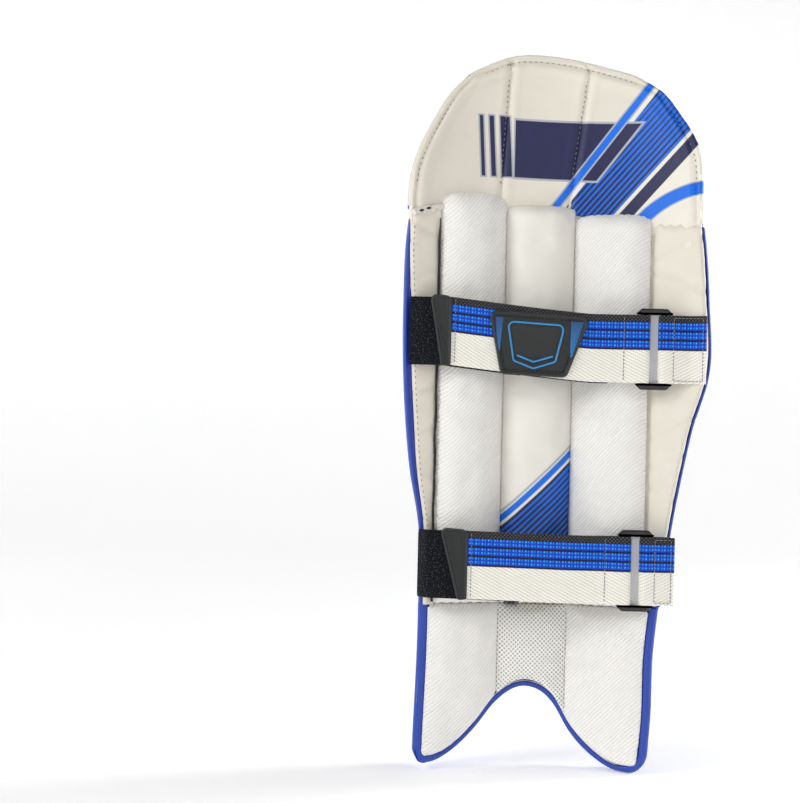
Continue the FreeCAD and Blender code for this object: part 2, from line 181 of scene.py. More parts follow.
def flap_arch(x):
    return knee_seam(x) + 1.2


def slope_at(u):
    near = np.minimum(np.abs(u), STRAIGHT_FROM)
    return -np.sign(u) * SIDE_FALL * FALL_POWER / HALF_WIDTH * (near / HALF_WIDTH) ** (FALL_POWER - 1)


def shell(u, depth):
    """x and y at a distance u along the shell and a depth out of it."""
    u = np.asarray(u, float)
    near = np.minimum(np.abs(u), STRAIGHT_FROM)
    steepest = SIDE_FALL * FALL_POWER / HALF_WIDTH * (STRAIGHT_FROM / HALF_WIDTH) ** (FALL_POWER - 1)
    base = -SIDE_FALL * (near / HALF_WIDTH) ** FALL_POWER - (np.abs(u) - near) * steepest
    slope = slope_at(u)
    length = np.hypot(1.0, slope)
    return u - depth * slope / length, base + depth / length


def shell_u(x, depth):
    """The distance along the shell of the point at x and a depth."""
    u = np.array(x, float)
    for _ in range(14):
        slope = slope_at(u)
        u = x + depth * slope / np.hypot(1.0, slope)
    return u


def on_shell(x, depth, z):
    """Points (x, y, z) at a depth out of the shell, for x and z given in the frame."""
    x, depth, z = np.broadcast_arrays(np.asarray(x, float), np.asarray(depth, float), np.asarray(z, float))
    u = shell_u(x, depth)
    return np.stack([x, shell(u, depth)[1], z], axis=-1)


def normals_at(x, depth, z):
    x, depth, z = np.broadcast_arrays(np.asarray(x, float), np.asarray(depth, float), np.asarray(z, float))
    slope = slope_at(shell_u(x, depth))
    length = np.hypot(1.0, slope)
    return np.stack([-slope / length, 1.0 / length, np.zeros_like(x)], axis=-1)


def seam_x(u, depth=SEAM_DEPTH):
    """A seam at a fixed distance along the shell, as x for any z."""
    x = float(shell(u, depth)[0])
    return lambda z: np.full_like(np.asarray(z, float), x)


def wave(v, seed, size=10.0):
    """A smooth uneven wave along one direction, from -1 to 1, with features of a size in millimetres."""
    k = 2 * math.pi / size
    total = 0.45 * np.sin(k * v + seed * 1.7)
    total = total + 0.30 * np.sin(1.63 * k * v + seed * 2.9 + 1.0)
    total = total + 0.25 * np.sin(0.57 * k * v + seed * 0.8 + 2.0)
    return total


def wobble(x, z, seed, size=60.0):
    """The same in two directions."""
    return 0.5 * wave(x * 0.8 + z * 0.6, seed, size) + 0.5 * wave(z * 0.9 - x * 0.5, seed + 3.0, size * 0.8)


def ease(distance, radius):
    """0 at a border, 1 from a radius inside it, round like a stuffed edge."""
    t = np.clip(distance / radius, 0.0, 1.0)
    return np.sqrt(np.clip(1.0 - (1.0 - t) ** 2, 0.0, 1.0))


def swell(distance, radius):
    """The same, but it rises from a sewn seam at an angle instead of upright."""
    t = np.clip(distance / radius, 0.0, 1.0)
    return 0.25 * ease(distance, radius) + 0.75 * np.sin(0.5 * math.pi * t)


def step_up(distance, low, high):
    t = np.clip((distance - low) / (high - low), 0.0, 1.0)
    return t * t * (3 - 2 * t)


def spaced(length, step, fine=1.0, reach=6.0):
    """Shares from 0 to 1 along a length: fine steps near both ends, larger ones between."""
    if length <= 2.5 * reach:
        return np.linspace(0.0, 1.0, max(7, int(length / fine)))
    edge = np.arange(0.0, reach, fine)
    middle = np.linspace(reach, length - reach, max(3, int((length - 2 * reach) / step) + 1))
    return np.concatenate([edge, middle, (length - edge)[::-1]]) / length


# ---------------------------------------------------------------- mesh helpers

def new_object(name, verts, faces, material, body, uv=None):
    mesh = bpy.data.meshes.new(name)
    mesh.from_pydata(np.asarray(verts, float).tolist(), [], faces)
    mesh.update()
    if uv is not None:
        layer = mesh.uv_layers.new(name=CLOTH_UV)
        loops = np.zeros(len(mesh.loops), np.int32)
        mesh.loops.foreach_get("vertex_index", loops)
        layer.data.foreach_set("uv", np.asarray(uv, np.float32)[loops].ravel())
    mesh.materials.append(material)
    obj = bpy.data.objects.new(name, mesh)
    bpy.context.scene.collection.objects.link(obj)
    tidy_mesh(obj)
    if body:
        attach(obj, body)
    return obj


def tidy_mesh(obj):
    """Merges doubled points, turns every face outwards and shades smoothly."""
    bm = bmesh.new()
    bm.from_mesh(obj.data)
    bmesh.ops.remove_doubles(bm, verts=bm.verts, dist=2e-6)
    bmesh.ops.recalc_face_normals(bm, faces=bm.faces)
    if bm.calc_volume(signed=True) < 0.0:
        bmesh.ops.reverse_faces(bm, faces=bm.faces)
    for face in bm.faces:
        face.smooth = True
    for edge in bm.edges:
        edge.smooth = not edge.is_manifold or edge.calc_face_angle() < SHARP_ANGLE
    bm.to_mesh(obj.data)
    bm.free()


def grid_faces(rows, cols, offset=0, flip=False):
    r, c = np.meshgrid(np.arange(rows - 1), np.arange(cols - 1), indexing="ij")
    a = (r * cols + c).ravel() + offset
    quads = np.stack([a, a + 1, a + cols + 1, a + cols], axis=-1)
    if flip:
        quads = quads[:, ::-1]
    return quads.tolist()


def patch(name, front, back, uv, material, body):
    """A closed piece between two grids of points (rows, columns, 3), in millimetres."""
    rows, cols = front.shape[:2]
    count = rows * cols
    verts = np.concatenate([front.reshape(-1, 3), back.reshape(-1, 3)]) * MM
    faces = grid_faces(rows, cols) + grid_faces(rows, cols, count, True)
    ids = np.arange(count).reshape(rows, cols)
    border = np.concatenate([ids[0, :-1], ids[:-1, -1], ids[-1, :0:-1], ids[:0:-1, 0]])
    after = np.roll(border, -1)
    faces += np.stack([after, border, border + count, after + count], axis=-1).tolist()
    both = np.concatenate([uv.reshape(-1, 2), uv.reshape(-1, 2)])
    obj = new_object(name, verts, faces, material, body, both)
    OUTER_FACES[name] = front[SEWN_ROWS:-SEWN_ROWS, SEWN_ROWS:-SEWN_ROWS].reshape(-1, 3) * MM
    return obj


def even_out(mesh, move, rounds):
    """Averages the moves of neighbouring points, so that only folds wider than the grid are left."""
    ends = np.zeros(len(mesh.edges) * 2, np.int32)
    mesh.edges.foreach_get("vertices", ends)
    one, two = ends.reshape(-1, 2).T
    held = np.linalg.norm(move, axis=1) < 1e-7
    links = np.bincount(ends, minlength=len(move))[:, None]
    for _ in range(rounds):
        total = np.zeros_like(move)
        np.add.at(total, one, move[two])
        np.add.at(total, two, move[one])
        move = 0.4 * move + 0.6 * total / links
        move[held] = 0.0
    return move


def settle(pieces):
    """Settles the outer cloth of stuffed pieces in a short simulation and keeps the result in each mesh."""
    before = {}
    for obj in pieces:
        places = OUTER_FACES[obj.name]
        tree = KDTree(len(places))
        for i, place in enumerate(places):
            tree.insert(place, i)
        tree.balance()
        count = len(obj.data.vertices)
        start = np.zeros(count * 3)
        obj.data.vertices.foreach_get("co", start)
        before[obj.name] = start.reshape(-1, 3)
        sewn = [v.index for v in obj.data.vertices if tree.find(v.co)[2] > 1e-6]
        obj.vertex_groups.new(name="sewn").add(sewn, 1.0, "REPLACE")
        cloth = obj.modifiers.new("settle", "CLOTH")
        cloth.settings.vertex_group_mass = "sewn"
        cloth.settings.quality = 4
        cloth.settings.mass = 0.1
        cloth.settings.bending_stiffness = 0.5
        cloth.settings.use_pressure = True
        cloth.settings.uniform_pressure_force = SIM_PRESSURE
        cloth.settings.shrink_min = SIM_SLACK
        cloth.settings.effector_weights.gravity = 0.0
        cloth.point_cache.frame_start = 1
        cloth.point_cache.frame_end = SIM_FRAMES
    for number in range(1, SIM_FRAMES + 1):
        bpy.context.scene.frame_set(number)
    graph = bpy.context.evaluated_depsgraph_get()
    for obj in pieces:
        start = before[obj.name]
        found = np.zeros(start.size)
        obj.evaluated_get(graph).data.vertices.foreach_get("co", found)
        move = even_out(obj.data, found.reshape(-1, 3) - start, SIM_SMOOTH)
        outward = np.zeros(start.size)
        obj.data.vertex_normals.foreach_get("vector", outward)
        outward = outward.reshape(-1, 3)
        height = np.sum(move * outward, axis=1)[:, None]
        move += (np.clip(height, -SIM_SINK * MM, SIM_CAP * MM) - height) * outward
        length = np.linalg.norm(move, axis=1)[:, None]
        move *= np.minimum(1.0, SIM_CAP * MM / np.maximum(length, 1e-9))
        obj.modifiers.remove(obj.modifiers["settle"])
        obj.vertex_groups.remove(obj.vertex_groups["sewn"])
        obj.data.vertices.foreach_set("co", (start + move).ravel())
        obj.data.update()
    bpy.context.scene.frame_set(1)


class Spot:
    """Where the points of a panel are: x, z, and the distances to its four sides."""


def panel(name, sides, front, back, material, body, step=3.0):
    """A panel bounded by left(z), right(z), bottom(x) and top(x), between two depth functions."""
    left, right, bottom, top = sides
    z_mid = 0.5 * (bottom(0.5 * (left(300.0) + right(300.0))) + top(0.5 * (left(300.0) + right(300.0))))
    x_mid = 0.5 * (left(z_mid) + right(z_mid))
    width = float(np.max([right(z) - left(z) for z in np.linspace(bottom(x_mid), top(x_mid), 7)]))
    height = float(top(x_mid) - bottom(x_mid))
    s, t = np.meshgrid(spaced(width, step), spaced(height, step))
    z = bottom(x_mid) + height * t
    for _ in range(10):
        x = left(z) + (right(z) - left(z)) * s
        z = bottom(x) + (top(x) - bottom(x)) * t
    g = Spot()
    g.x, g.z, g.s, g.t = x, z, s, t
    g.wide = right(z) - left(z)
    g.tall = top(x) - bottom(x)
    g.left = s * g.wide
    g.right = (1 - s) * g.wide
    g.bottom = t * g.tall
    g.top = (1 - t) * g.tall
    g.seam = np.minimum(g.left, g.right)
    outer = front(g)
    inner = back(g)
    uv = np.stack([shell_u(x, outer), z], axis=-1) * MM
    return patch(name, on_shell(x, outer, z), on_shell(x, inner, z), uv, material, body)


def frames_along(points, closed):
    """Tangents and two side directions along a path, without twist."""
    points = np.asarray(points, float)
    if closed:
        tangents = np.roll(points, -1, axis=0) - np.roll(points, 1, axis=0)
    else:
        tangents = np.gradient(points, axis=0)
    tangents /= np.linalg.norm(tangents, axis=1)[:, None]
    start = np.array([0.0, 1.0, 0.0])
    if abs(tangents[0] @ start) > 0.9:
        start = np.array([1.0, 0.0, 0.0])
    sides = []
    side = start
    for tangent in tangents:
        side = side - (side @ tangent) * tangent
        side = side / np.linalg.norm(side)
        sides.append(side)
    sides = np.array(sides)
    return tangents, sides, np.cross(tangents, sides)


def tube(name, points, radius, material, body, sides=10, closed=False, flat=1.0):
    """A round cord of cloth along a path; flat squeezes it across its first side direction."""
    points = np.asarray(points, float)
    _, side, other = frames_along(points, closed)
    radius = np.broadcast_to(np.asarray(radius, float), len(points))
    angle = np.linspace(0, 2 * math.pi, sides, endpoint=False)
    ring = (np.cos(angle)[None, :, None] * side[:, None, :] * flat
            + np.sin(angle)[None, :, None] * other[:, None, :]) * radius[:, None, None]
    verts = points[:, None, :] + ring
    rows = len(points)
    length = np.concatenate([[0], np.cumsum(np.linalg.norm(np.diff(points, axis=0), axis=1))])
    uv = np.stack(np.broadcast_arrays(angle[None, :] * radius[:, None], length[:, None]), axis=-1)
    faces = []
    for r in range(rows if closed else rows - 1):
        q = (r + 1) % rows
        for c in range(sides):
            d = (c + 1) % sides
            faces.append((r * sides + c, r * sides + d, q * sides + d, q * sides + c))
    if not closed:
        faces.append(tuple(range(sides)))
        faces.append(tuple(range((rows - 1) * sides, rows * sides)))
    return new_object(name, verts.reshape(-1, 3) * MM, faces, material, body, uv.reshape(-1, 2) * MM)


def along(points, pitch):
    """Points, tangents and shares at an even pitch along a path."""
    points = np.asarray(points, float)
    length = np.concatenate([[0], np.cumsum(np.linalg.norm(np.diff(points, axis=0), axis=1))])
    count = max(2, int(length[-1] / pitch))
    where = (np.arange(count) + 0.5) * length[-1] / count
    out = np.stack([np.interp(where, length, points[:, k]) for k in range(3)], axis=-1)
    ahead = np.stack([np.interp(where + 0.5, length, points[:, k]) for k in range(3)], axis=-1)
    behind = np.stack([np.interp(where - 0.5, length, points[:, k]) for k in range(3)], axis=-1)
    tangent = ahead - behind
    tangent /= np.linalg.norm(tangent, axis=1)[:, None]
    return out, tangent, where, length


def stitches(name, rows, material, body, pitch=4.4, length=3.1, radius=0.38, lift=0.35):
    """Sewing thread: each row is (points, outward directions), and each stitch a small arched capsule."""
    share = np.array([0.0, 0.1, 0.5, 0.9, 1.0])
    thick = np.array([0.35, 0.9, 1.0, 0.9, 0.35])
    arch = np.array([-0.9, 0.2, 1.0, 0.2, -0.9])
    angle = np.linspace(0, 2 * math.pi, 6, endpoint=False)
    verts = []
    for points, outward in rows:
        outward = np.broadcast_to(np.asarray(outward, float), np.shape(points))
        centre, tangent, where, total = along(points, pitch)
        up = np.stack([np.interp(where, total, outward[:, k]) for k in range(3)], axis=-1)
        up = up - np.sum(up * tangent, axis=1)[:, None] * tangent
        up /= np.linalg.norm(up, axis=1)[:, None]
        side = np.cross(tangent, up)
        spine = (centre[:, None, :] + tangent[:, None, :] * ((share - 0.5) * length)[None, :, None]
                 + up[:, None, :] * (arch * lift)[None, :, None])
        ring = np.cos(angle)[:, None] * up[:, None, None, :] + np.sin(angle)[:, None] * side[:, None, None, :]
        ring = ring * (thick * radius)[None, :, None, None]
        verts.append((spine[:, :, None, :] + ring).reshape(-1, 3))
    verts = np.concatenate(verts)
    count = len(verts) // 30
    cells = []
    for r in range(4):
        for c in range(6):
            d = (c + 1) % 6
            cells.append((r * 6 + c, r * 6 + d, r * 6 + 6 + d, r * 6 + 6 + c))
    base = (np.arange(count) * 30)[:, None, None]
    faces = (base + np.array(cells)[None]).reshape(-1, 4).tolist()
    for start in (0, 24):
        faces += (base[:, 0] + np.arange(start, start + 6)[None]).tolist()
    return new_object(name, verts * MM, faces, material, body)


def ribbon(name, path, z_low, z_high, thickness, material, body, cols=15, shear=None):
    """Flat webbing that follows a path of (x, y) points, upright, with its width along Z.

    shear moves each path point up, so that a strap can rise towards its end."""
    path = np.asarray(path, float)
    rows = len(path)
    rise = np.zeros(rows) if shear is None else np.asarray(shear, float)
    tangent = np.gradient(path, axis=0)
    tangent /= np.linalg.norm(tangent, axis=1)[:, None]
    side = np.stack([tangent[:, 1], -tangent[:, 0]], axis=-1)
    z = np.linspace(z_low, z_high, cols)
    length = np.concatenate([[0], np.cumsum(np.linalg.norm(np.diff(path, axis=0), axis=1))])
    thin = np.full(cols, thickness / 2)
    thin[[0, -1]] = thickness * 0.2
    grids = []
    for sign in (1, -1):
        xy = path[:, None, :] + sign * side[:, None, :] * thin[None, :, None]
        zz = z[None, :] + rise[:, None]
        grids.append(np.concatenate([xy, zz[:, :, None]], axis=-1))
    across = np.broadcast_to((z_high - z)[None, :], (rows, cols))
    uv = np.stack([across, np.broadcast_to(length[:, None], (rows, cols))], axis=-1) * MM
    return patch(name, grids[0], grids[1], uv, material, body)


# ---------------------------------------------------------------- material helpers

def srgb(r, g, b):
    """A colour given as on a screen, from 0 to 255, in the linear values that shaders read."""
    out = []
    for value in (r, g, b):
        v = value / 255.0
        out.append(v / 12.92 if v <= 0.04045 else ((v + 0.055) / 1.055) ** 2.4)
    return tuple(out) + (1.0,)


class Paint:
    """One material and the nodes in it. Positions are in millimetres."""

    def __init__(self, name, space="cloth"):
        self.material = bpy.data.materials.new(name)
        self.material.use_nodes = True
        self.tree = self.material.node_tree
        self.shader = self.tree.nodes["Principled BSDF"]
        if space == "cloth":
            source = self.tree.nodes.new("ShaderNodeUVMap")
            source.uv_map = CLOTH_UV
            out = source.outputs["UV"]
        else:
            out = self.tree.nodes.new("ShaderNodeTexCoord").outputs["Object"]
        scale = self.tree.nodes.new("ShaderNodeVectorMath")
        scale.operation = "SCALE"
        self.tree.links.new(out, scale.inputs[0])
        scale.inputs["Scale"].default_value = 1000.0
        self.place = scale.outputs[0]
        split = self.tree.nodes.new("ShaderNodeSeparateXYZ")
        self.tree.links.new(self.place, split.inputs[0])
        self.x, self.y, self.z = split.outputs

    def put(self, socket, value):
        if isinstance(value, bpy.types.NodeSocket):
            self.tree.links.new(value, socket)
        else:
            socket.default_value = value

    def math(self, operation, a, b=0.0, c=0.0):
        node = self.tree.nodes.new("ShaderNodeMath")
        node.operation = operation
        for socket, value in zip(node.inputs, (a, b, c)):
            self.put(socket, value)
        return node.outputs[0]

    def add(self, a, b):
        return self.math("ADD", a, b)

    def times(self, a, b):
        return self.math("MULTIPLY", a, b)

    def line(self, ax, az, c):
        """ax * x + az * z + c"""
        return self.add(self.times(self.x, ax), self.math("MULTIPLY_ADD", self.z, az, c))

    def above(self, value, edge, soft=0.35):
        """0 below an edge, 1 above it, with a short soft step."""
        node = self.tree.nodes.new("ShaderNodeMapRange")
        self.put(node.inputs["Value"], value)
        node.inputs["From Min"].default_value = edge - soft
        node.inputs["From Max"].default_value = edge + soft
        return node.outputs[0]

    def within(self, value, low, high, soft=0.35):
        return self.times(self.above(value, low, soft),
                          self.math("SUBTRACT", 1.0, self.above(value, high, soft)))

    def mix(self, share, a, b):
        node = self.tree.nodes.new("ShaderNodeMix")
        node.data_type = "RGBA"
        self.put(node.inputs["Factor"], share)
        for socket, value in ((node.inputs[6], a), (node.inputs[7], b)):
            self.put(socket, value)
        return node.outputs[2]

    def noise(self, size, detail=3.0, rough=0.55, place=None):
        node = self.tree.nodes.new("ShaderNodeTexNoise")
        self.put(node.inputs["Vector"], self.place if place is None else place)
        node.inputs["Scale"].default_value = 1.0 / size
        node.inputs["Detail"].default_value = detail
        node.inputs["Roughness"].default_value = rough
        return node.outputs[0]

    def cells(self, size, feature="F1"):
        node = self.tree.nodes.new("ShaderNodeTexVoronoi")
        node.feature = feature
        self.put(node.inputs["Vector"], self.place)
        node.inputs["Scale"].default_value = 1.0 / size
        return node.outputs["Distance"]

    def stripes(self, value, pitch):
        """A smooth wave from 0 to 1 along a value."""
        return self.math("MULTIPLY_ADD", self.math("SINE", self.times(value, 2 * math.pi / pitch)), 0.5, 0.5)

    def map(self, value, low, high, start=0.0, end=1.0):
        """A value from start to end, as a number from low to high."""
        node = self.tree.nodes.new("ShaderNodeMapRange")
        self.put(node.inputs["Value"], value)
        node.inputs["From Min"].default_value = start
        node.inputs["From Max"].default_value = end
        node.inputs["To Min"].default_value = low
        node.inputs["To Max"].default_value = high
        return node.outputs[0]

    def creases(self, reach=0.06):
        """1 along crests, 0 in hollows, from the shape itself; the materials use it to paint shade into
        hollows and highlight onto crests.
        """
        node = self.tree.nodes.new("ShaderNodeNewGeometry")
        return self.map(node.outputs["Pointiness"], 0.0, 1.0, 0.5 - reach, 0.5 + reach)

    def bump(self, height, depth, strength=1.0, over=None):
        node = self.tree.nodes.new("ShaderNodeBump")
        self.put(node.inputs["Height"], height)
        node.inputs["Distance"].default_value = depth * MM
        node.inputs["Strength"].default_value = strength
        if over is not None:
            self.tree.links.new(over, node.inputs["Normal"])
        return node.outputs[0]

    def finish(self, color, roughness, normal=None, **fixed):
        self.put(self.shader.inputs["Base Color"], color)
        self.put(self.shader.inputs["Roughness"], roughness)
        if normal is not None:
            self.tree.links.new(normal, self.shader.inputs["Normal"])
        for name, value in fixed.items():
            self.shader.inputs[name.replace("_", " ")].default_value = value
        return self.material


# ---------------------------------------------------------------- materials

BLUE = srgb(4, 42, 144)
# The next colour serves the blue's mottling and its painted shade in the hollows.
BLUE_MOTTLE_AND_SHADE = srgb(2, 28, 118)
# The next two colours are painted shade for the cover's hollows and seams, and a painted highlight for its
# crests.
BLUE_PAINTED_SHADE = srgb(0, 12, 72)
BLUE_PAINTED_HIGHLIGHT = srgb(38, 76, 180)
NAVY = srgb(34, 35, 78)
PRINT_BLUE = srgb(0, 108, 226)
CREAM = srgb(234, 229, 217)
# The next colour serves the cream's mottling and its painted shade in the hollows.
CREAM_MOTTLE_AND_SHADE = srgb(211, 202, 184)
GREY_LINE = srgb(176, 180, 186)
BLACK = srgb(9, 9, 11)


def leather(paint, base, mottle_and_shade, mottling=45.0):
    """Smooth coated cloth: faint mottling and painted shade in the hollows; the fine grain comes from
    grain().
    """
    tint = paint.mix(paint.map(paint.noise(mottling, 2.0), 0.0, 0.55), base, mottle_and_shade)
    # Painted shade: the hollows are darkened towards the mottling colour.
    return paint.mix(paint.map(paint.creases(), 0.16, 0.0), tint, mottle_and_shade)


def grain(paint, size=0.9, depth=0.07):
    fine = paint.bump(paint.cells(size), depth)
    return paint.bump(paint.noise(16.0, 3.0), 0.35, 0.6, fine)


def blue_cover():
    paint = Paint("blue_cover_leather")
    shade_and_highlight_mask = paint.creases(0.03)
    color = leather(paint, BLUE, BLUE_MOTTLE_AND_SHADE)
    # Painted shade darkens the hollows and seams; a painted highlight lightens the crests.
    color = paint.mix(paint.map(shade_and_highlight_mask, 0.9, 0.0, 0.0, 0.5), color, BLUE_PAINTED_SHADE)
    color = paint.mix(paint.map(shade_and_highlight_mask, 0.0, 0.6, 0.5, 1.0), color, BLUE_PAINTED_HIGHLIGHT)
    rough = paint.map(paint.noise(9.0), 0.34, 0.48)
    return paint.finish(color, rough, grain(paint), Specular_IOR_Level=0.5)


def cream_cover():
    paint = Paint("cream_cover_leather")
    color = leather(paint, CREAM, CREAM_MOTTLE_AND_SHADE)
    rough = paint.map(paint.noise(9.0), 0.42, 0.58)
    return paint.finish(color, rough, grain(paint), Specular_IOR_Level=0.4)


def mesh_cloth():
    """Spacer mesh with fine ribs of holes that run at 45 degrees."""
    paint = Paint("mesh_cloth_fine")
    across = paint.times(paint.math("SUBTRACT", paint.x, paint.y), 0.7071)
    down = paint.times(paint.add(paint.x, paint.y), 0.7071)
    rib = paint.stripes(across, 2.9)
    hole = paint.times(rib, paint.stripes(down, 1.9))
    # Painted shade: the holes are darker than the threads.
    color = paint.mix(paint.map(hole, 0.0, 0.55), srgb(248, 246, 242), srgb(205, 200, 192))
    color = paint.mix(paint.map(paint.noise(50.0), 0.0, 0.3), color, srgb(236, 233, 227))
    height = paint.math("SUBTRACT", paint.map(rib, 0.5, 0.0), hole)
    normal = paint.bump(paint.noise(0.6), 0.08, 0.6, paint.bump(height, 0.4))
    return paint.finish(color, 0.82, normal, Sheen_Weight=0.25, Specular_IOR_Level=0.25)


def coarse_mesh():
    """Open diamond mesh with holes about 4 mm apart."""
    paint = Paint("mesh_cloth_coarse")
    a = paint.stripes(paint.add(paint.x, paint.y), 4.3)
    b = paint.stripes(paint.math("SUBTRACT", paint.x, paint.y), 4.3)
    hole = paint.above(paint.times(a, b), 0.42, 0.22)
    # Painted shade: the holes are darker than the threads.
    color = paint.mix(hole, srgb(243, 241, 236), srgb(180, 176, 169))
    normal = paint.bump(paint.noise(0.7), 0.08, 0.6, paint.bump(paint.map(hole, 1.0, 0.0), 0.7))
    return paint.finish(color, 0.8, normal, Sheen_Weight=0.2, Specular_IOR_Level=0.25)


def fold_cloth():
    """Coated cream cloth at the gathered folds."""
    paint = Paint("cream_fold_cloth")
    color = leather(paint, srgb(228, 224, 214), srgb(196, 189, 178), 20.0)
    return paint.finish(color, 0.5, grain(paint), Specular_IOR_Level=0.4)


def stripe_field(paint, distance, under, low, high, pitch=4.3):
    """Bright blue where distance is positive, crossed by dark lines that thin out between two heights."""
    limit = paint.map(paint.z, 0.36, 0.8, low, high)
    dark = paint.above(paint.math("SUBTRACT", paint.stripes(distance, pitch), limit), 0.0, 0.12)
    field = paint.mix(dark, PRINT_BLUE, NAVY)
    return paint.mix(paint.above(distance, 0.0), under, field)


def band(paint, color, value, low, high, tint, soft=0.35):
    return paint.mix(paint.within(value, low, high, soft), color, tint)


def printed_flap():
    """Cream flap lining with plain bars, a plain slanted band and a field of diagonal stripes."""
    paint = Paint("printed_flap_cloth", "object")
    color = leather(paint, CREAM, CREAM_MOTTLE_AND_SHADE)
    field = paint.line(0.760, -0.650, -0.760 * 30.5 + 0.650 * 561.0)
    color = stripe_field(paint, field, color, 548.0, 640.0)
    color = band(paint, color, field, 0.0, 2.2, NAVY)
    color = paint.mix(paint.above(field, 47.5), color, CREAM)
    color = band(paint, color, field, 51.0, 62.0, NAVY)
    thin = paint.line(0.800, -0.600, -0.800 * 14.5 + 0.600 * 541.0)
    color = band(paint, color, thin, 3.0, 8.4, CREAM)
    height = paint.add(paint.z, paint.times(paint.x, 0.03))
    slant = paint.line(0.800, -0.600, -0.800 * 93.0 + 0.600 * 620.0)
    inside = paint.times(paint.within(height, 565.0, 624.0), paint.within(paint.x, -28.0, 120.0))
    color = paint.mix(paint.times(inside, paint.math("SUBTRACT", 1.0, paint.above(slant, 2.0))), color,
                      GREY_LINE)
    inside = paint.times(paint.within(height, 567.0, 622.0), paint.within(paint.x, -26.5, 120.0))
    color = paint.mix(paint.times(inside, paint.math("SUBTRACT", 1.0, paint.above(slant, 0.0))), color, NAVY)
    color = band(paint, color, thin, -4.7, 4.5, GREY_LINE)
    color = band(paint, color, thin, -3.2, 3.0, PRINT_BLUE)
    bar = paint.add(paint.x, paint.times(paint.z, 0.06))
    for middle, half in ((-22.5, 1.7), (-12.5, 2.2), (0.5, 4.8)):
        for grow, tint in ((1.5, GREY_LINE), (0.0, NAVY)):
            here = paint.within(bar, middle - half - grow, middle + half + grow)
            here = paint.times(here, paint.within(paint.z, 568.0 - grow, 626.0 + grow))
            color = paint.mix(here, color, tint)
    round_x = paint.math("POWER", paint.math("ABSOLUTE", paint.add(paint.x, -160.0)), 2.0)
    round_z = paint.math("POWER", paint.math("ABSOLUTE", paint.add(paint.z, -470.0)), 2.0)
    curve = paint.math("SQRT", paint.add(round_x, round_z))
    color = band(paint, color, curve, 80.0, 93.5, GREY_LINE)
    color = band(paint, color, curve, 81.2, 92.3, PRINT_BLUE)
    rough = paint.map(paint.noise(9.0), 0.42, 0.56)
    return paint.finish(color, rough, grain(paint), Specular_IOR_Level=0.4)


def printed_bolster():
    """The smooth middle channel, with diagonal stripes at its lower end."""
    paint = Paint("printed_bolster_cloth", "object")
    color = leather(paint, srgb(236, 234, 226), srgb(220, 214, 203))
    line = paint.line(0.70, -0.714, -0.70 * 36.0 + 0.714 * 306.0)
    color = stripe_field(paint, paint.add(line, -6.0), color, 236.0, 300.0)
    color = band(paint, color, line, -6.0, -3.6, GREY_LINE)
    color = band(paint, color, line, -2.6, 2.8, PRINT_BLUE)
    color = band(paint, color, line, 5.4, 7.4, NAVY)
    color = paint.mix(paint.above(line, 58.0), color, CREAM)
    color = band(paint, color, line, 61.0, 70.0, NAVY)
    return paint.finish(color, 0.46, grain(paint), Specular_IOR_Level=0.4)


def webbing_cloth():
    """Strap webbing: black braid, three rows of blue dots, a black line and white twill."""
    paint = Paint("strap_webbing_cloth")
    across, down = paint.x, paint.y
    row = paint.math("MODULO", paint.add(across, -6.4), 8.6)
    dots = paint.times(paint.stripes(paint.add(row, -0.9), 3.4), paint.stripes(down, 2.9))
    gap = paint.above(paint.stripes(down, 5.8), 0.84, 0.1)
    lit = paint.times(paint.above(dots, 0.42, 0.22), paint.math("SUBTRACT", 1.0, gap))
    blue = paint.mix(lit, srgb(0, 62, 190), srgb(36, 166, 255))
    rows = paint.mix(paint.within(row, 0.6, 7.4, 0.3), BLACK, blue)
    slope = paint.math("SUBTRACT", across, paint.times(down, 0.5))
    weave = paint.times(paint.stripes(slope, 3.1), paint.map(paint.stripes(down, 1.7), 0.55, 1.0))
    twill = paint.mix(paint.map(weave, 0.0, 0.8), srgb(246, 243, 234), srgb(204, 199, 186))
    braid = paint.times(paint.stripes(paint.add(across, down), 3.4),
                        paint.stripes(paint.math("SUBTRACT", across, down), 3.4))
    edge = paint.mix(paint.above(braid, 0.3, 0.2), srgb(5, 5, 6), srgb(78, 78, 82))
    color = paint.mix(paint.above(across, 6.2), edge, rows)
    color = paint.mix(paint.above(across, 32.8), color, twill)
    height = paint.mix(paint.above(across, 32.8), paint.add(dots, braid), weave)
    normal = paint.bump(paint.noise(0.5), 0.06, 0.7, paint.bump(height, 0.38))
    return paint.finish(color, 0.72, normal, Sheen_Weight=0.2, Specular_IOR_Level=0.3)


def hook_backing():
    """Dark woven tape with hooks, sewn behind the strap."""
    paint = Paint("hook_backing_cloth")
    weave = paint.times(paint.stripes(paint.x, 1.4), paint.stripes(paint.y, 1.4))
    color = paint.mix(weave, srgb(26, 26, 28), srgb(9, 9, 11))
    normal = paint.bump(paint.noise(0.9), 0.35, 0.9, paint.bump(weave, 0.3))
    return paint.finish(color, 0.85, normal, Sheen_Weight=0.3)


def twill_tape():
    """Pale grey twill that lines the ring's window."""
    paint = Paint("ring_twill_tape")
    rib = paint.stripes(paint.math("SUBTRACT", paint.x, paint.times(paint.y, 0.8)), 1.9)
    color = paint.mix(paint.map(rib, 0.0, 0.7), srgb(206, 208, 210), srgb(168, 171, 175))
    normal = paint.bump(paint.noise(0.5), 0.06, 0.7, paint.bump(rib, 0.25))
    return paint.finish(color, 0.75, normal, Sheen_Weight=0.2, Specular_IOR_Level=0.3)


